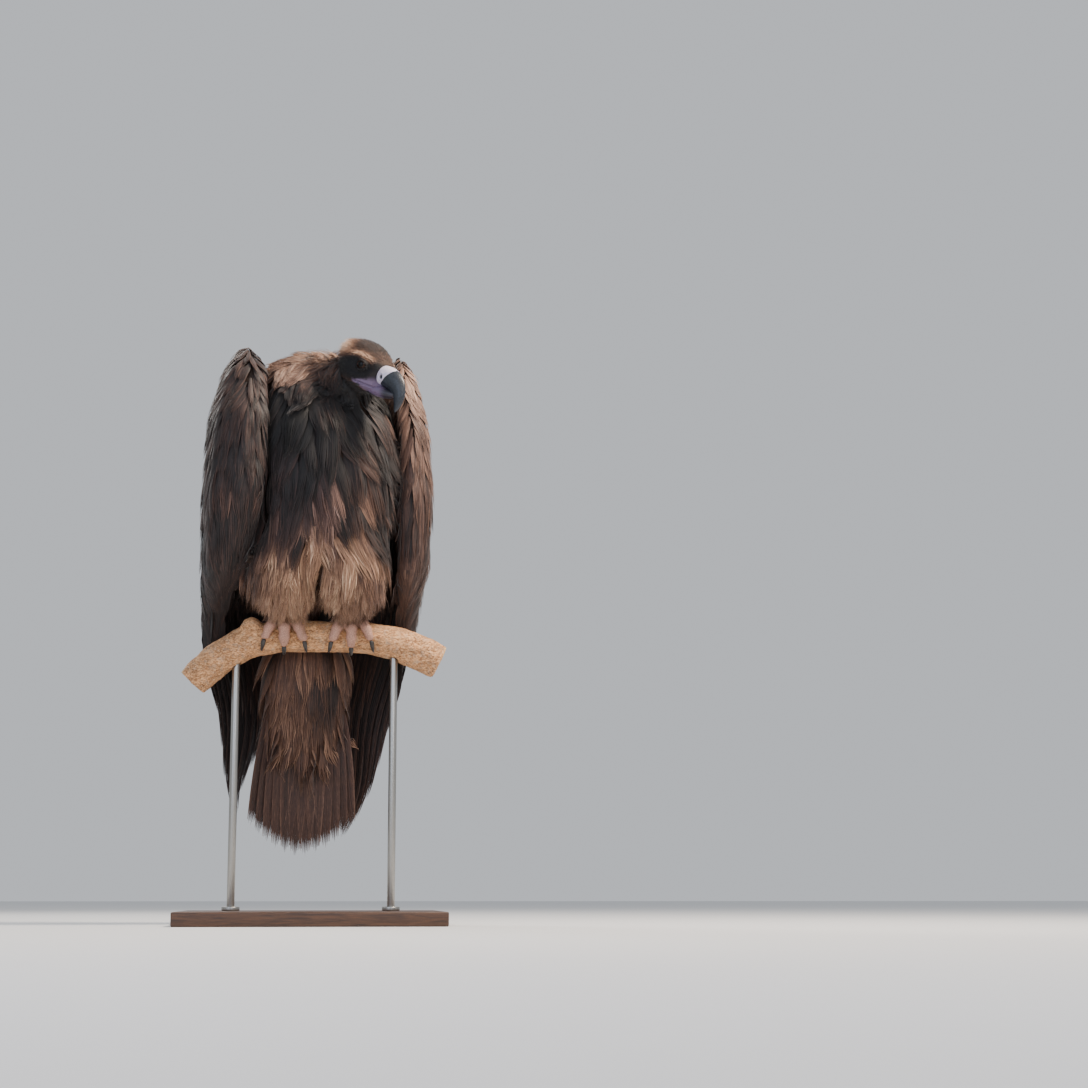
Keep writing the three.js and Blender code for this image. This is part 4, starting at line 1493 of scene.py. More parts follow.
@dataclass(frozen=True)
class Tract:
    """One kind of contour feather on one part of the bird."""

    length_mm: tuple[float, float]
    width_mm: tuple[float, float]
    spacing_mm: float
    cut: Cut
    sink: float = 0.9  # how deep the root lies, as a share of the coat's depth
    lift_mm: float = 2.5  # how far the tip stands off
    loose_mm: float = 1.5  # how much that varies
    hang: float = 0.3
    clump: float = 0.0  # how far tips gather into bundles
    clump_mm: float = 42.0
    patchy: float = 0.0  # how far the bundles' tones stray
    bulk_mm: float = 0.0  # how far the bundles' heights stray
    sway_mm: float = 3.0  # how far tips stray sideways
    roll_deg: float = 7.0
    stray_tone: float = 0.04
    steps: int = 7

    def grow(self, plumage: Plumage, coat: "Coat", share: Array, lay: Lay, marks: Callable, seed: int,
             scale: Callable | None = None, bed: Surface | None = None,
             ground: Surface | None = None) -> None:
        """Grows the tract's feathers.

        Args:
            plumage: Collects the feathers.
            coat: What they grow from.
            share: For each triangle of the ground, 1 where the tract lies and 0 where it doesn't.
            lay: The lie of the feathers.
            marks: Gives tone and warmth at places.
            seed: Starts the draws.
            scale: Gives the feathers' size at places, 1 unless stated.
            bed: What the feathers lie on, the ground unless stated.
            ground: What the roots are spread on, the envelope unless stated.
        """
        rng = np.random.default_rng(seed)
        skin = coat.skin
        surface = ground or skin.envelope
        middles = surface.middles()
        size = scale(middles) if scale else np.ones(len(middles))
        roots, ids = surface.scatter(share, self.spacing_mm * MM * size, rng)
        size = size[ids]
        total = len(roots)
        lengths = rng.uniform(*self.length_mm, total) * MM * size
        widths = rng.uniform(*self.width_mm, total) * MM * size
        rails = trace(bed or surface, roots, lay, lengths, self.steps, self.hang)
        run = np.linspace(0, 1, self.steps + 1)[None, :, None]
        places = rails.places
        bundle = bulk = np.zeros(total)
        if self.clump:
            guides = thinned(roots, np.full(total, self.clump_mm * MM))
            nearest = ((roots[:, None] - roots[guides][None]) ** 2).sum(-1).argmin(1)
            pull = places[guides][nearest] - places
            pull = pull - rails.outward * (pull * rails.outward).sum(-1, keepdims=True)
            places = places + pull * self.clump * run ** 1.6
            bundle, bulk = (rng.normal(0, stray, len(guides))[nearest]
                            for stray in (self.patchy, self.bulk_mm))
        rails = Rails(places, rails.outward)
        sway = rng.normal(0, self.sway_mm * MM, total)[:, None, None]
        own = ground is None
        depth = np.full(total, coat.mantle_depth_mm * MM)
        if own:
            depth = coat.depth[surface.triangles[ids]].mean(1)
        tip = (self.lift_mm * size + bulk + rng.uniform(-1, 1, total) * self.loose_mm) * MM
        height = -self.sink * depth[:, None, None] * (1 - run) ** 1.5 + tip[:, None, None] * run ** 1.5
        rails = Rails(places + rails.aside() * sway * run ** 2 + rails.outward * height, rails.outward)
        rails = rails.tilted(np.radians(rng.normal(0, self.roll_deg, total)))
        tone, warm = marks(rails.places[:, self.steps // 2])
        tone = tone + bundle + rng.normal(0, self.stray_tone, total)
        root_uv = skin.unwrap[ids].mean(1) if own else skin.root_uv(roots)
        plumage.add(rails, widths, tone, warm, root_uv, self.cut, rng)


@dataclass
class Coat:
    """All the contour feathers and the head's down."""

    skin: Skin
    head: HeadFrame
    marks: Markings
    wings: Sequence["Wing"]
    mantle_depth_mm: float = 6.0
    wing_split: float = 0.82  # height where the shoulder's piece meets the wing's
    down_spacing_mm: float = 1.68
    down_width_mm: tuple[float, float] = (1.6, 2.3)
    down_steps: int = 3
    depth: Array = None

    breast = Tract((85, 125), (18, 26), 12.5, Cut(8, 7, 0.4, 0.35, 0.08, 0.38, 0.3, 0.3, 0.22, streak=0.09),
                   lift_mm=5, loose_mm=3, hang=0.6, clump=0.62, clump_mm=44, patchy=0.13, bulk_mm=3.5,
                   sway_mm=5, roll_deg=12)
    back = Tract((88, 120), (27, 35), 15.5, Cut(9, 8, 0.5, 0.4, 0.2, 0.62, 0.2, streak=0.08), sink=1.6,
                 lift_mm=3, loose_mm=2, hang=0.5, patchy=0.05, clump=0.15, clump_mm=34, sway_mm=4)
    belly = Tract((60, 85), (15, 21), 11.5, Cut(6, 6, 0.4, 0.4, 0.1, 0.3, 0.35, 0.4, 0.3, streak=0.1),
                  lift_mm=5, loose_mm=4, hang=0.85, clump=0.4, clump_mm=30, patchy=0.08, sway_mm=5,
                  roll_deg=14)
    trousers = Tract((60, 95), (12, 18), 9.5, Cut(5, 6, 0.4, 0.4, 0.08, 0.3, 0.35, 0.4, 0.3, streak=0.1),
                     lift_mm=5, loose_mm=5, hang=0.9, clump=0.45, clump_mm=27, patchy=0.09, sway_mm=6,
                     roll_deg=14)
    collar = Tract((38, 60), (5, 7.5), 5.2, Cut(4, 6, 0.35, 0.4, 0.08, 0.25, 0.4, 0.5, 0.4, streak=0.1),
                   lift_mm=2.5, loose_mm=2.2, hang=0.25, clump=0.35, clump_mm=20, patchy=0.06, sway_mm=4,
                   roll_deg=12)
    greater = Tract((100, 130), (24, 31), 16, Cut(9, 8, 0.5, 0.4, 0.2, 0.6, 0.18, 0.1, 0.1, streak=0.08),
                    lift_mm=3, loose_mm=1.5, hang=0.1, patchy=0.03, sway_mm=3)
    coverts = Tract((70, 95), (15, 20), 10.5, Cut(6, 7, 0.45, 0.4, 0.16, 0.5, 0.2, 0.15, 0.15, streak=0.1),
                    lift_mm=2.4, loose_mm=1, hang=0.1, clump=0.25, clump_mm=30, patchy=0.05, sway_mm=2.5)
    tail_coverts = Tract((90, 130), (26, 34), 15, Cut(8, 7, 0.45, 0.4, 0.2, 0.5, 0.25, streak=0.08),
                         lift_mm=3, hang=1.0, patchy=0.05, clump=0.2, sway_mm=4)
    tuft = Cut(2, 3, 0.35, 0.7, 0.1, 0.2, 0.3, 0.9, 0.7, 0.1, 0.35, 1.1)

    def build(self) -> None:
        """Grows every piece of the coat."""
        skin, body, worn = self.skin, self.marks.body, FeatherFinish()
        self.depth = np.linalg.norm(skin.envelope.points - mesh_points(skin.piece), axis=1)
        x, y, z = in_body(skin.envelope.middles()).T
        halves = (("left", x >= 0), ("right", x < 0))
        open_air = self.uncovered()
        trunk = skin.region_share(Region.TRUNK, Region.RUFF, Region.NECK) * open_air
        breast = trunk * (y < 0.03) * (z > 0.6)
        for seed, (side, mine) in enumerate(halves, 11):
            self.piece(f"coat_breast_{side}", "plumage", worn,
                       (self.breast, breast * mine, self.drooping, body, seed, self.plume_size))
        self.grow_mantle()
        self.piece("coat_belly", "trousers", worn,
                   (self.belly, trunk * (z <= 0.63) * (y < 0.1), self.downward, body, 31, self.above_toes))
        for seed, (side, mine) in enumerate(halves, 41):
            thigh = skin.region_share(Region.THIGH) * mine
            self.piece(f"coat_thigh_{side}", "trousers", worn,
                       (self.trousers, thigh, self.downward, body, seed, self.above_toes))
        self.piece("coat_ruff", "plumage", worn,
                   (self.collar, skin.region_share(Region.RUFF, Region.NECK), self.spreading, body, 51))
        self.piece("coat_tail_coverts", "plumage", worn, (
            self.tail_coverts, skin.region_share(Region.COVERTS) * open_air, self.downward, body, 61))
        self.grow_wings([mine for _, mine in halves])
        self.grow_down()

    def piece(self, title: str, slot: str, finish: Finish, *grown: tuple) -> None:
        """Grows one piece of the coat.

        Args:
            title: The piece's name.
            slot: The record's material slot.
            finish: The feathers' finish.
            *grown: Each tract, followed by where and how it grows.
        """
        plumage = Plumage(title)
        for tract, *how in grown:
            tract.grow(plumage, self, *how)
        plumage.build(slot, finish)

    def uncovered(self) -> Array:
        """Finds the triangles of the envelope that no folded wing covers closely.

        Returns:
            1 for each such triangle and 0 for the others.
        """
        names = [name for part in ("arm", "secondaries", "primaries") for side in SIDES
                 for name in wing_nodes(side, part)]
        tree, _ = tree_of_nodes(names)
        ways = self.skin.envelope.facing()
        starts = self.skin.envelope.middles() + ways * 2 * MM
        reach = 0.03
        return np.array([tree.ray_cast(start, way, reach)[0] is None
                         for start, way in zip(starts.tolist(), ways.tolist())], float)

    def grow_mantle(self) -> None:
        """Grows the back's broad feathers over the seam between the folded wings, and a hem on top."""
        names = ["trunk", "ruff", *(name for part in ("arm", "secondaries") for side in SIDES
                                    for name in wing_nodes(side, part))]
        bed = bed_of(names, 7, 14, 9)
        x, y, z = in_body(bed.middles()).T
        share = (np.abs(x) < 0.075) * (y > -0.01) * (z > 0.57) * (z < 0.975)
        hem = (np.abs(x) < 0.085) * (y > -0.03) * (z > 0.935) * (z < 0.99)
        self.piece("coat_back", "plumage", FeatherFinish(name="mantle_keratin", fringe=0.1, roughness=0.58),
                   (self.back, share.astype(float), self.downward, self.marks.wing, 21, self.mantle_size, bed,
                    bed),
                   (self.collar, hem.astype(float), self.spreading, self.marks.body, 22, None, bed, bed))

    def grow_wings(self, halves: Sequence[Array]) -> None:
        """Grows the coverts that clothe the folded arms, larger further down, and the great ones under them.

        Args:
            halves: Which triangles of the envelope lie on the left and on the right.
        """
        finish = FeatherFinish(name="covert_keratin", fringe=0.1, root_painted_shade=-0.12, roughness=0.58)
        lie, tone = self.along_wing, self.marks.wing
        x, y, z = in_body(self.skin.envelope.middles()).T
        open_side = (z > 0.635) & ((np.abs(x) > 0.022) | (y < 0.03))  # clear of the slot behind
        for seed, wing, mine in zip((71, 72), self.wings, halves):
            shell = wing.shell
            spot = in_body(shell.middles())
            ways = unit(spot * (1, 1, 0) - (0, wing.axis_y, 0))
            outside = (in_body(shell.facing()) * ways).sum(-1) > 0.3
            row = outside & (np.abs(spot[:, 2] - 0.61) < 0.05) & (np.abs(spot[:, 0]) > 0.02)
            self.piece(f"coat_great_coverts_{wing.side}", "plumage", finish,
                       (self.greater, row.astype(float), lie, tone, seed + 10, None, shell, shell))
            arm = self.skin.region_share(Region.WING) * mine * open_side
            for title, level, more in (("coat_wing", z <= self.wing_split, 0),
                                       ("coat_shoulder", z > self.wing_split, 20)):
                self.piece(f"{title}_{wing.side}", "plumage", finish,
                           (self.coverts, arm * level, lie, tone, seed + more, self.covert_size, shell))

    def grow_down(self) -> None:
        """Grows the short down of head and upper neck in fine tufts."""
        rng = np.random.default_rng(81)
        piece = self.skin.piece
        surface = Surface(mesh_points(piece), mesh_normals(piece), self.skin.envelope.triangles)
        middles = surface.middles()
        _, _, patch = self.marks.face(middles)
        roots, ids = surface.scatter(self.downy(middles), (self.down_spacing_mm - 0.1 * patch) * MM, rng)
        total = len(roots)
        tone, warm, patch = self.marks.face(roots)
        x, y, z = self.head.within(roots).T
        back = ease(0, -40, x)
        full = self.marks.bulge(x, z)
        lengths = (7.5 + 4.5 * back + 3 * full - 3.2 * patch) * rng.uniform(0.75, 1.25, total) * MM
        rails = trace(surface, roots, self.combed, lengths, self.down_steps, 0.5)
        run = np.linspace(0, 1, self.down_steps + 1)[None, :, None]
        tip = (2.0 + 2.2 * back + 3.2 * full - 1.4 * patch) * rng.uniform(0.3, 1.7, total) * MM
        sway = rng.normal(0, 1.1, total)[:, None, None] * MM
        height = -0.6 * MM * (1 - run) + tip[:, None, None] * run ** 1.2
        places = rails.places + rails.outward * height + rails.aside() * sway * run ** 1.5
        widths = rng.uniform(*self.down_width_mm, total) * MM
        tone = tone + rng.normal(0, 0.05, total)
        root_uv = self.skin.unwrap[ids].mean(1)
        finish = FeatherFinish(name="natal_like_down", fringe=0.1, root_painted_shade=-0.06, roughness=0.75,
                               sheen=0.3)
        for side, mine in (("left", y >= 0), ("right", y < 0)):
            plumage = Plumage(f"coat_head_down_{side}")
            plumage.add(Rails(places[mine], rails.outward[mine]), widths[mine], tone[mine], warm[mine],
                        root_uv[mine], self.tuft, rng)
            plumage.build("head_down", finish)

    def downy(self, middles: Array) -> Array:
        """Finds where down grows: on head and neck, but not on eyes, bill or the lilac skin of the gape.

        Args:
            middles: The middles of the skin's triangles.

        Returns:
            1 for each downy triangle and 0 for the others.
        """
        spot = self.head.within(middles)
        x, y, z = spot.T
        share = self.skin.region_share(Region.HEAD, Region.NECK, Region.BILL, Region.RUFF)
        share = share * (x < 30 + 6 * ease(4, 14, z)) * (x > -74)
        for sign in SIDES.values():
            off = spot - self.head.eye * (1, sign, 1)
            share = share * ((np.hypot(off[:, 0] / 10.5, off[:, 2] / 8.5) > 1.0) | (y * sign < 10))
        above, reach = self.head.gape(spot)
        return share * ~((above < reach + 0.2) & (above > -reach) & (x > 4))

    @staticmethod
    def downward(places: Array) -> Array:
        """Down and a little back."""
        return to_world(0.6 * in_body(places)[:, 0], 0.28, -0.95)

    @staticmethod
    def drooping(places: Array) -> Array:
        """Down the breast, swinging towards the bird's left under the turned head."""
        x = in_body(places)[:, 0]
        return to_world(0.42 * ease(-0.03, 0.04, x) - 0.12 * ease(0, -0.06, x), 0.1, -0.92)

    @staticmethod
    def spreading(places: Array) -> Array:
        """Gives the collar's lie, outwards from the neck and down over the shoulders.

        Args:
            places: World places.

        Returns:
            The ways.
        """
        x, y, z = in_body(places).T
        away = 0.8 * unit(np.stack([x - 0.04, y + 0.12], -1))
        return to_world(away[:, 0], away[:, 1], -0.35 - 4 * (0.96 - z))

    @staticmethod
    def along_wing(places: Array) -> Array:
        """Down the folded wing, sloping back from its front margin."""
        _, y, z = in_body(places).T
        return to_world(0.0, (0.45 * ease(0.8, 0.95, z) + 0.16) * ease(0.13, 0.06, y), -1.0)

    def combed(self, places: Array) -> Array:
        """Back over the head from the bill, sinking on the cheeks."""
        return np.tile(self.head.turn @ np.array([-1.0, 0, -0.3]), (len(places), 1))

    @staticmethod
    def above_toes(places: Array) -> Array:
        """How the lowest plumes shorten, so that they end over the toes."""
        return 0.4 + 0.6 * ease(0.56, 0.64, places[:, 2])

    @staticmethod
    def plume_size(places: Array) -> Array:
        """How the breast's plumes shorten up to the collar."""
        return 0.45 + 0.55 * ease(0.965, 0.88, places[:, 2])

    @staticmethod
    def covert_size(places: Array) -> Array:
        """How the coverts grow from the wing's top to its foot."""
        z = places[:, 2]
        return 0.42 + 0.3 * ease(1.01, 0.94, z) + 0.75 * ease(0.95, 0.68, z)

    @staticmethod
    def mantle_size(places: Array) -> Array:
        """How the feathers of the back grow from the nape down."""
        z = places[:, 2]
        return 0.5 + 0.5 * ease(0.98, 0.9, z) + 0.3 * ease(0.9, 0.7, z)


# ---- wings and tail


@dataclass
class Wing:
    """The flight feathers of one folded wing, set round the wing's own shell."""

    side: str
    skin: Skin
    marks: Markings
    axis_y: float = 0.02  # the upright line that the folded wing bends round, in the body's frame
    margin: float = 0.06  # the shell's share left free at its front and rear
    look_from: float = 0.4  # how far outside the axis the shell is looked for
    row_points: int = 20
    primary_mm: float = 38
    secondary_mm: float = 42
    secondaries: int = 13
    tilt_deg: float = 5
    shell: Surface = None
    levels: Array = None
    front: Array = None
    rear: Array = None

    vane = Cut(9, 18, 0.3, 0.35, 0.3, 0.86, 0.06, 0.1, 0.08, 0.12, 0.6, 1.8)
    # Places of the ten primaries from the outermost in: root share across, tip share, tip height in mm.
    primaries = ((0.12, 0.10, 330), (0.16, 0.16, 262), (0.20, 0.26, 205), (0.25, 0.38, 160),
                 (0.30, 0.50, 132), (0.36, 0.62, 140), (0.42, 0.74, 178), (0.48, 0.80, 226),
                 (0.54, 0.84, 270), (0.60, 0.88, 305))
    tips_up_mm = {"left": 0.0, "right": 36.0}  # the right wing is folded a little higher
    seeds = {"left": 91, "right": 92}

    def build(self) -> None:
        """Makes the wing's feathers and hands them over."""
        self.measure()
        rng = np.random.default_rng(self.seeds[self.side])
        plumage = Plumage(f"flight_feathers_{self.side}")
        up = self.tips_up_mm[self.side]
        self.lay(plumage, [(root, 600.0) for root, _, _ in self.primaries],
                 [(tip, z + up) for _, tip, z in self.primaries], self.primary_mm, -5.5, 0.5, rng)
        shares = np.linspace(0.42, 0.91, self.secondaries)
        tips = [(share, 338.0 + 34 * abs(share - 0.7) + rng.uniform(-6, 6)) for share in shares]
        self.lay(plumage, [(share, 640.0) for share in shares], tips, self.secondary_mm, -3, 0.35, rng)
        finish = FeatherFinish(name="flight_feather_keratin", barb_mm=2.2, roughness=0.5, sheen=0.15)
        plumage.build("flight_feathers", finish, wing_nodes(self.side, "primaries", "secondaries"))

    def measure(self) -> None:
        """Smooths a copy of the wing's shell and finds how far round it reaches at each level."""
        self.shell = bed_of(wing_nodes(self.side, "arm", "secondaries", "primaries"), 5, 10, 3.5)
        x, y, z = in_body(self.shell.points).T
        azimuth = np.arctan2(y - self.axis_y, SIDES[self.side] * x)
        near = [(level, azimuth[np.abs(z - level) < 0.012]) for level in np.arange(0.14, 0.96, 0.02)]
        near = [(level, found) for level, found in near if len(found)]
        self.levels = np.array([level for level, _ in near])
        self.front, self.rear = (
            np.polyval(np.polyfit(self.levels, [edge(found) for _, found in near], 5), self.levels)
            for edge in (np.min, np.max))

    def at(self, across: Array, height: Array) -> tuple[Array, Array]:
        """Places and outward normals on the shell.

        Args:
            across: Shares from the front margin to the rear one.
            height: Heights in metres.

        Returns:
            The places and their normals.
        """
        first, last = (np.interp(height, self.levels, edge) for edge in (self.front, self.rear))
        azimuth = first + (last - first) * (self.margin + (1 - 2 * self.margin) * across)
        ways = to_world(SIDES[self.side] * np.cos(azimuth), np.sin(azimuth), 0.0)
        axis = to_world(0.0, self.axis_y, height)
        places = []
        for start, way in zip((axis + ways * self.look_from).tolist(), ways.tolist()):
            hit = self.shell.tree.ray_cast(start, [-c for c in way], 0.9 * self.look_from)
            missed = [s - 0.23 * w for s, w in zip(start, way)]
            places.append(hit[0] or self.shell.tree.find_nearest(missed)[0])
        places = np.array(places)
        _, normals, _, _ = self.shell.nearest(places)
        return places, unit(0.5 * normals + 0.5 * ways)

    def lay(self, plumage: Plumage, roots: Sequence, tips: Sequence, width_mm: float, base_mm: float,
            step_mm: float, rng: np.random.Generator) -> None:
        """Lays one row of large feathers, each over its neighbour in front.

        Args:
            plumage: Collects the feathers.
            roots: Share across and height in mm of each root.
            tips: The same for each tip.
            width_mm: The feathers' width.
            base_mm: How far out of the shell the first one lies.
            step_mm: How much further out each next one lies.
            rng: The draws.
        """
        run = np.linspace(0, 1, self.row_points)
        lines, outward = [], []
        for i, (root, tip) in enumerate(zip(roots, tips)):
            across = root[0] + (tip[0] - root[0]) * run ** 1.1
            places, normals = self.at(across, (root[1] + (tip[1] - root[1]) * run) * MM)
            for _ in range(6):
                padded = np.concatenate([places[:1], places, places[-1:]])
                places = 0.25 * padded[:-2] + 0.5 * padded[1:-1] + 0.25 * padded[2:]
            off = base_mm + step_mm * i + 1.5 * run ** 2 - 8 * np.maximum(1 - run / 0.3, 0) ** 1.5
            lines.append(places + normals * (off * MM)[:, None])
            outward.append(normals)
        total = len(lines)
        tilt = np.radians(SIDES[self.side] * self.tilt_deg + rng.normal(0, 1.5, total))
        rails = Rails(np.stack(lines), np.stack(outward)).tilted(tilt)
        widths = width_mm * MM * rng.uniform(0.92, 1.08, total)
        tone, warm = self.marks.wing(rails.places[:, self.row_points // 2])
        tone = tone - 0.06 + rng.normal(0, 0.025, total)
        plumage.add(rails, widths, tone, warm, self.skin.root_uv(rails.places[:, 0]), self.vane, rng)


@dataclass
class Tail:
    """Twelve stiff tail feathers, fanned a little, the middle ones lying on top behind."""

    skin: Skin
    feathers: int = 12
    row_points: int = 20
    root_z: float = 0.5
    root_y: float = 0.098
    root_half: float = 0.03
    tip_z: float = 0.12
    tip_y: float = 0.144
    fan_deg: float = 11
    wedge: float = 0.055
    stack: float = 0.014
    width_mm: float = 44
    tilt_deg: float = 5
    tone: float = 0.3

    vane = Cut(10, 18, 0.5, 0.3, 0.3, 0.93, 0.045, 0.05, 0.08, 0.08, 0.6, 2.2)

    def build(self) -> None:
        """Lays the feathers from one side to the other."""
        rng = np.random.default_rng(101)
        run = np.linspace(0, 1, self.row_points)
        share = np.linspace(-1, 1, self.feathers)
        lines, outward = [], []
        for t in share:
            drop = self.root_z - self.tip_z - self.wedge * abs(t) ** 1.6
            x = self.root_half * t + math.sin(math.radians(self.fan_deg) * t) * drop * run
            y = self.root_y + (self.tip_y - self.root_y) * run ** 1.2
            y = y - self.stack * abs(t) * (0.3 + 0.7 * run)
            lines.append(to_world(x, y, self.root_z - drop * run))
            outward.append(np.tile(to_world(*unit(np.array([0.25 * t, 1.0, 0.12]))), (self.row_points, 1)))
        rails = Rails(np.stack(lines), np.stack(outward)).tilted(np.radians(self.tilt_deg * share))
        tone = self.tone + rng.normal(0, 0.03, self.feathers)
        widths = self.width_mm * MM * rng.uniform(0.95, 1.05, self.feathers)
        plumage = Plumage("tail_feathers_vanes")
        plumage.add(rails, widths, tone, np.full(self.feathers, 0.3), self.skin.root_uv(rails.places[:, 0]),
                    self.vane, rng)
        finish = FeatherFinish(name="tail_feather_keratin", fringe=0.14, barb_mm=2.2, roughness=0.55,
                               sheen=0.15)
        plumage.build("flight_feathers", finish, ["tail_feathers"])


# ---- bill, eyes and claws


@dataclass(frozen=True)
class Ring:
    """One cross-section of a bill part, in head mm, its plane pitched from upright."""

    x: float
    z: float
    half_height: float
    half_width: float
    pitch_deg: float = 0.0

    def centre(self) -> Vector:
        """The ring's middle in metres."""
        return Vector((self.x, 0, self.z)) * MM


def spin(angle_deg: float, centre: Vector) -> None:
    """Turns the selection about Y through a centre, so that a positive angle pitches +X downwards."""
    if angle_deg:
        bpy.ops.transform.rotate(value=-math.radians(angle_deg), orient_axis="Y", center_override=centre)


def ringed_solid(title: str, rings: Sequence[Ring], sides: int = 20) -> Piece:
    """Models a closed tapering solid by extruding a circle from ring to ring.

    Args:
        title: The new object's name.
        rings: Its cross-sections in order.
        sides: Corners of each ring.

    Returns:
        The new object, in head mm.
    """
    deselect_all()
    bpy.ops.mesh.primitive_circle_add(vertices=sides, radius=1 * MM, rotation=(0, math.pi / 2, 0))
    piece = bpy.context.object
    piece.name = title
    bpy.ops.object.transform_apply(location=False, rotation=True, scale=False)
    set_mode("EDIT", "SELECT")
    last = Ring(0, 0, 1, 1)
    for i, ring in enumerate(rings):
        centre = ring.centre()
        way = centre - last.centre()
        if i:
            bpy.ops.mesh.extrude_region_move(TRANSFORM_OT_translate={"value": way})
        else:
            bpy.ops.transform.translate(value=way)
        spin(-last.pitch_deg, centre)
        grow = (1, ring.half_width / last.half_width, ring.half_height / last.half_height)
        bpy.ops.transform.resize(value=grow, center_override=centre)
        spin(ring.pitch_deg, centre)
        last = ring
    bpy.ops.mesh.select_all(action="SELECT")
    bpy.ops.mesh.fill_holes(sides=0)
    bpy.ops.mesh.normals_make_consistent(inside=False)
    set_mode("OBJECT")
    return piece


@dataclass
class Bill:
    """The hooked upper bill, the soft cere over its base and the lower bill."""

    head: HeadFrame
    horn: tuple[Ring, ...] = (
        Ring(36, 1.4, 16, 14.4), Ring(48, 1.4, 17, 14.8), Ring(56, 0.4, 16.8, 14),
        Ring(63, -1.6, 16, 12.6, 8),
        Ring(70, -5, 14.6, 11, 22), Ring(76.4, -11.5, 12.6, 9.2, 43), Ring(80.4, -20, 10.8, 7.6, 62),
        Ring(82, -29, 8.8, 6, 78), Ring(82, -37.5, 6.2, 4.2, 90), Ring(81, -44.5, 3.2, 2.2, 98),
        Ring(80, -48.5, 0.7, 0.5, 102))
    soft: tuple[Ring, ...] = (
        Ring(28, 1.2, 13.5, 12), Ring(33, 1.6, 16.8, 15.8, 5), Ring(38, 1.8, 17.8, 16.6, 13),
        Ring(44, 1.8, 18.4, 16.4, 22), Ring(49, 1.4, 18.4, 15.8, 30), Ring(52.5, 0.9, 18, 15.1, 34),
        Ring(53.8, 0.6, 16, 13.2, 35))
    lower: tuple[Ring, ...] = (
        Ring(16, -21.6, 8.4, 14), Ring(30, -22.2, 9.8, 14.8), Ring(40, -22.6, 9.8, 14),
        Ring(50, -23.2, 8.8, 12.2, -3), Ring(60, -23.2, 7.2, 9.6, -6), Ring(69, -22.2, 5, 6.8, -10),
        Ring(74.5, -21, 1.8, 2.8, -12))
    nostril: tuple[float, float, float] = (45, 15.6, -0.8)
    nostril_length: float = 2.8
    nostril_height: float = 3.6

    def build(self) -> None:
        """Models the three parts and hands them over."""
        self.work_horn(self.part("bill_upper_horn", self.horn))
        self.work_cere(self.part("cere_skin", self.soft))
        lower = self.part("bill_lower_horn", self.lower)
        tip = ease(44, 58, self.head.within(mesh_points(lower))[:, 0])
        set_colours(lower, PLUME, 0.9 * tip, 0.6)
        finish = CereFinish(name="lower_bill_horn", pale="#85728f", deep="#5a4b63", pit="#1b1e23",
                            roughness=0.38)
        settle(lower, finish.material(), ["bill_lower"])

    def part(self, title: str, rings: Sequence[Ring]) -> Piece:
        """Models one rounded part of the bill and places it in the world.

        Args:
            title: The piece's name.
            rings: Its cross-sections.

        Returns:
            The new object.
        """
        piece = ringed_solid(title, rings)
        apply_modifier(piece, "SUBSURF", levels=2)
        turn = Matrix(self.head.turn.tolist()).to_4x4() @ Matrix.Scale(self.head.size, 4)
        piece.matrix_world = Matrix.Translation(Vector(self.head.origin)) @ turn
        make_active(piece)
        bpy.ops.object.transform_apply(location=True, rotation=True, scale=True)
        piece.data.shade_smooth()
        return piece

    def work_horn(self, horn: Piece) -> None:
        """Raises the ridge of the upper bill and draws in its sides over the edge, then hands it over.

        Args:
            horn: The upper bill.
        """
        points = self.head.within(mesh_points(horn))
        x, y, z = points.T
        ridge = np.exp(-(y / 3.0) ** 2) * ease(50, 62, x)
        drop = ease(60, 66, x) * ease(76, 70, x) * np.exp(-((z + 17) / 4) ** 2)
        lift = np.stack([0.9 * ridge * ease(70, 80, x), 0 * y, 0.8 * ridge - 1.0 * drop], -1)
        set_points(horn, self.head.place(points + lift))
        settle(horn, HornFinish().material(), ["bill_upper"])

    def work_cere(self, cere: Piece) -> None:
        """Presses the nostrils and the creases into the cere, marks them and hands it over.

        Args:
            cere: The cere.
        """
        apply_modifier(cere, "SUBSURF", levels=1)
        points, normals = self.head.within(mesh_points(cere)), mesh_normals(cere)
        x, y, z = points.T
        along, out, up = (np.stack([x, np.abs(y), z], -1) - np.array(self.nostril)).T
        outer = out > -8
        hole = np.exp(-((along / self.nostril_length) ** 2 + (up / self.nostril_height) ** 2) ** 2) * outer
        rim = np.exp(-((np.hypot(along, up / 1.25) - 4.6) / 1.2) ** 2) * outer
        crease = np.exp(-((x - 34 - 0.05 * z) / 1.4) ** 2)
        lift = -3.6 * hole + 0.7 * rim - 0.7 * crease
        set_points(cere, self.head.place(points) + normals * (lift * MM)[:, None])
        # Painted shade: low on the cere, in the crease, round the nostrils and in them.
        low = ease(-8, -18, z) + 0.5 * crease + 0.4 * rim
        set_colours(cere, PLUME, hole, np.clip(low, 0, 1) * 0.8)
        cere.data.shade_smooth()
        settle(cere, CereFinish().material(), ["cere"])


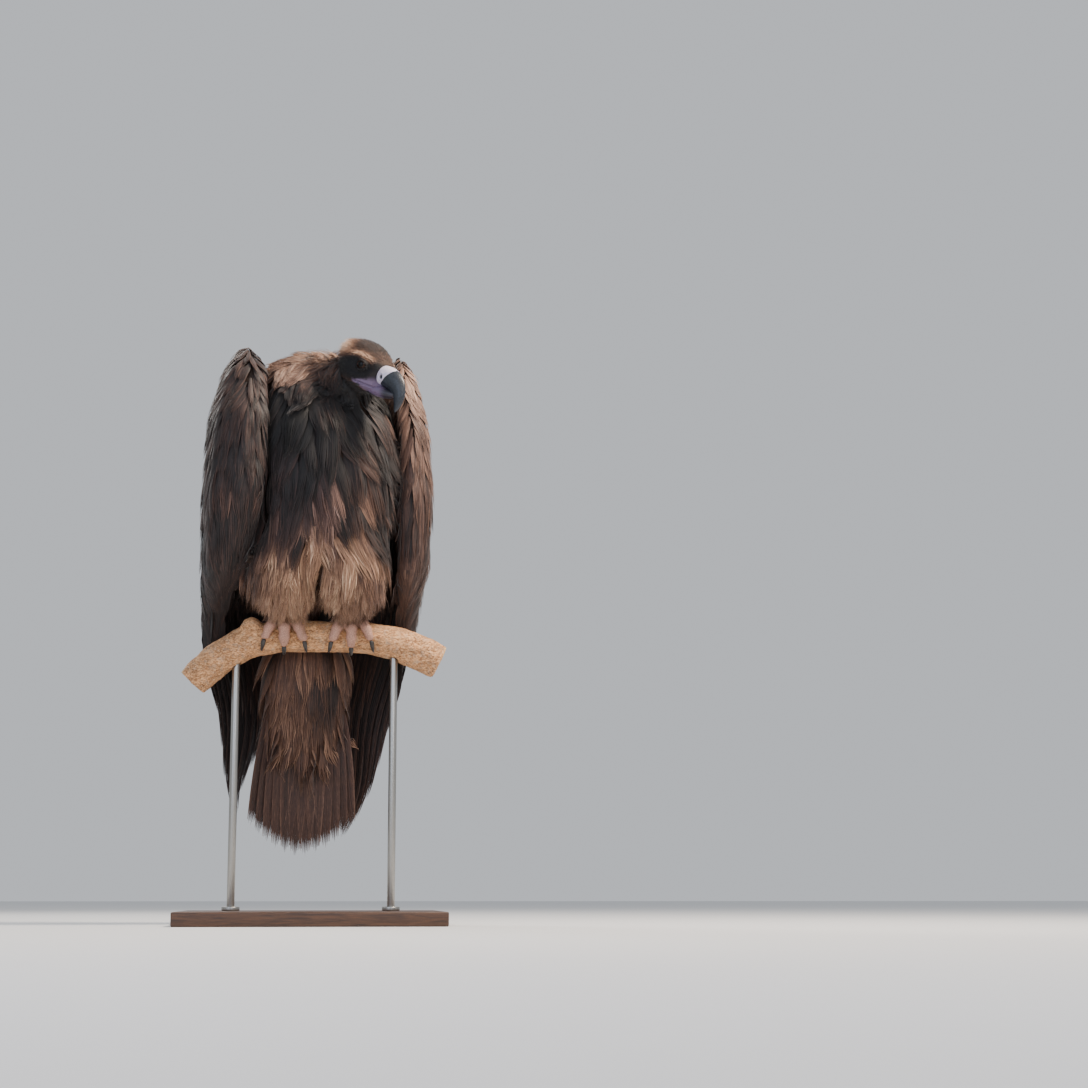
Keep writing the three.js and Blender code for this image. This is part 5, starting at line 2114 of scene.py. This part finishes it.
@dataclass
class Eyes:
    """Dark brown eyes, sunk under the brows."""

    head: HeadFrame
    segments: int = 48
    rings: int = 32

    def build(self) -> None:
        """Makes both eyeballs."""
        for side, sign in SIDES.items():
            centre = self.head.place((self.head.eye * (1, sign, 1))[None])[0]
            deselect_all()
            radius = self.head.eye_radius * self.head.size * MM
            bpy.ops.mesh.primitive_uv_sphere_add(segments=self.segments, ring_count=self.rings,
                                                 location=centre, radius=radius)
            ball = bpy.context.object
            ball.name = f"eyeball_{side}"
            bpy.ops.object.transform_apply(location=True, rotation=False, scale=False)
            gaze = unit(self.head.turn @ np.array([0.3, sign * 1.0, -0.05]))
            away = np.arccos(np.clip(unit(mesh_points(ball) - centre) @ gaze, -1, 1))
            set_colours(ball, PLUME, away / (math.pi / 2))
            ball.data.shade_smooth()
            settle(ball, EyeFinish().material(), [f"eye_{side}"])


@dataclass
class Claws:
    """Smooth curved claws, shaped from the CAD ones."""

    toes: tuple[str, ...] = ("hind", "inner", "middle", "outer")

    def build(self) -> None:
        """Rounds a copy of each claw."""
        finish = HornFinish(name="claw_horn_keratin", dark="#1a1817", light="#47413c", roughness=0.4,
                            grain_mm=(2.5, 2.5, 2.5))
        for node in (f"claw_{toe}_{side}" for side in SIDES for toe in self.toes):
            claw = copy_of_nodes([node], f"{node}_horn")
            apply_modifier(claw, "SUBSURF", levels=2)
            claw.data.shade_smooth()
            settle(claw, finish.material(), [node])


# ---- perch and stand


@dataclass
class Perch:
    """The cut length of branch, its bark furrowed along its run and its ends sawn."""

    voxel_mm: float = 3.0
    smoothing: int = 6
    furrow_mm: float = 1.6
    end_depth: float = 0.03  # how far in from its ends the branch is looked at for sawn faces
    long_furrows: tuple[float, float, float] = (28, 95, 95)  # furrows to the metre along each axis
    fine_furrows: tuple[float, float, float] = (110, 240, 240)

    def build(self) -> None:
        """Roughens a copy of the branch."""
        branch = copy_of_nodes(["perch_branch"], "perch_bark")
        apply_modifier(branch, "REMESH", mode="VOXEL", voxel_size=self.voxel_mm * MM)
        apply_modifier(branch, "SMOOTH", factor=0.5, iterations=self.smoothing)
        points, normals = mesh_points(branch), mesh_normals(branch)
        x = points[:, 0]
        to_end = np.minimum(x - x.min(), x.max() - x)
        cut = ease(0.55, 0.8, np.abs(normals[:, 0]) * ease(self.end_depth, 0.0, to_end))
        long, fine = points * self.long_furrows, points * self.fine_furrows
        rough = np.array([0.9 * noise.noise(far) + 0.35 * noise.turbulence(near, 2, False) - 0.15
                          for far, near in zip(long.tolist(), fine.tolist())])
        set_points(branch, points + normals * ((1 - cut) * rough * self.furrow_mm * MM)[:, None])
        from_pith = np.zeros(len(points))
        for end in (x.min(), x.max()):
            near = np.abs(x - end) < self.end_depth
            from_pith[near] = np.linalg.norm(points[near] - points[near].mean(0), axis=1)
        set_colours(branch, PLUME, from_pith / (SawnFinish.pith_reach_mm * MM), cut)
        mesh = branch.data
        mesh.shade_smooth()
        for finish in (BarkFinish(), SawnFinish()):
            mesh.materials.append(finish.material())
        corner = read_all(mesh.polygons, "loop_start", 1, np.int32)[:, 0]
        vertex = read_all(mesh.loops, "vertex_index", 1, np.int32)[:, 0]
        mesh.polygons.foreach_set("material_index", (cut[vertex[corner]] > 0.5).astype(np.int32))
        settle(branch, None, ["perch_branch"])


@dataclass
class Stand:
    """A walnut board and two steel rods, with a collar at each rod's foot."""

    bevel_mm: float = 2.5
    rod_edge_mm: float = 0.4
    collar_edge_mm: float = 1.2
    rod_sides: int = 48

    def build(self) -> None:
        """Models the stand at the CAD's places."""
        middle, size = node_size("stand_base")
        deselect_all()
        bpy.ops.mesh.primitive_cube_add(size=1, location=middle, scale=size)
        base = self.rounded("stand_board", self.bevel_mm, 4)
        settle(base, BaseWoodFinish().material(), ["stand_base"])
        for side in SIDES:
            for node, edge_mm in ((f"stand_rod_{side}", self.rod_edge_mm),
                                  (f"stand_collar_{side}", self.collar_edge_mm)):
                middle, size = node_size(node)
                deselect_all()
                bpy.ops.mesh.primitive_cylinder_add(vertices=self.rod_sides, radius=size[0] / 2,
                                                    depth=size[2], location=middle)
                part = self.rounded(f"{node}_steel", edge_mm, 3)
                settle(part, SteelFinish().material(), [node])

    @staticmethod
    def rounded(title: str, edge_mm: float, segments: int) -> Piece:
        """Bevels the sharp edges of the new shape and shades it smooth between them.

        Args:
            title: The piece's name.
            edge_mm: The bevel's width.
            segments: How finely it is rounded.

        Returns:
            The object.
        """
        part = bpy.context.object
        part.name = title
        bpy.ops.object.transform_apply(location=True, rotation=True, scale=True)
        apply_modifier(part, "BEVEL", width=edge_mm * MM, segments=segments, limit_method="ANGLE",
                       angle_limit=math.radians(50))
        bpy.ops.object.shade_smooth_by_angle(angle=math.radians(35))
        return part


# ---- studio


@dataclass(frozen=True)
class Lamp:
    """One soft area lamp that looks at the bird."""

    place: tuple[float, float, float]
    size: float
    watts: float
    colour: str


@dataclass
class Studio:
    """A plain pale floor, soft lamps and the camera low in front of the bird."""

    aim: tuple[float, float, float] = (0.02, -0.02, 0.72)
    lamps: dict[str, Lamp] = field(default_factory=lambda: {
        "key": Lamp((1.4, -0.7, 2.5), 0.6, 132, "#ffeedb"),
        "fill": Lamp((-1.4, -2.6, 1.3), 2.2, 24, "#d9e6ff"),
        "front": Lamp((0.9, -3.2, 1.4), 1.6, 20, "#f4f6ff"),
        "rim": Lamp((-1.2, 1.9, 2.2), 1.0, 40, "#fff8ee")})
    air: str = "#e6eaf0"
    air_strength: float = 0.75
    floor_size: float = 30
    camera_place: tuple[float, float, float] = (0.0, -3.4, 0.05)
    camera_yaw: float = 6.8
    camera_pitch: float = 8.6
    lens: float = 63.86
    shift_up: float = 0.0551

    def build(self) -> None:
        """Sets floor, lamps, world and camera."""
        deselect_all()
        bpy.ops.mesh.primitive_plane_add(size=self.floor_size, location=(0, 0, 0))
        floor = bpy.context.object
        floor.name = "studio_floor"
        floor.data.materials.append(FloorFinish().material())
        for name, lamp in self.lamps.items():
            light = bpy.data.lights.new(name, "AREA")
            light.shape = "DISK"
            light.size = lamp.size
            light.energy = lamp.watts
            light.color = linear(lamp.colour)[:3]
            way = Vector(self.aim) - Vector(lamp.place)
            self.hang(name, light, lamp.place, way.to_track_quat("-Z", "Y").to_euler())
        world = bpy.data.worlds.new("studio_air")
        bpy.context.scene.world = world
        world.use_nodes = True
        background = world.node_tree.nodes["Background"].inputs
        background["Color"].default_value = linear(self.air)
        background["Strength"].default_value = self.air_strength
        lens = bpy.data.cameras.new("camera")
        lens.lens = self.lens
        lens.sensor_width = 36
        lens.shift_y = self.shift_up
        facing = (math.radians(90 + self.camera_pitch), 0, -math.radians(self.camera_yaw))
        bpy.context.scene.camera = self.hang("camera", lens, self.camera_place, facing)

    @staticmethod
    def hang(name: str, data: bpy.types.ID, place: Sequence[float], facing: Sequence[float]) -> Piece:
        """Puts a lamp or a camera in its place.

        Args:
            name: The object's name.
            data: The lamp or the camera.
            place: Where it stands.
            facing: How it is turned.

        Returns:
            The new object.
        """
        holder = bpy.data.objects.new(name, data)
        holder.location = place
        holder.rotation_euler = facing
        bpy.context.scene.collection.objects.link(holder)
        return holder


def main() -> None:
    """Builds the bird from the skin outwards, then its perch, stand and studio."""
    logging.basicConfig(level=logging.INFO, format="%(name)s: %(message)s")
    head = HeadFrame()
    marks = Markings(head)
    skin = Skin(head, marks)
    skin.build()
    wings = [Wing(side, skin, marks) for side in SIDES]
    for wing in wings:
        wing.build()
    for part in (Coat(skin, head, marks, wings), Tail(skin), Bill(head), Eyes(head), Claws(), Perch(),
                 Stand()):
        part.build()
    skin.finish()
    Studio().build()


if __name__ == "__main__":
    main()
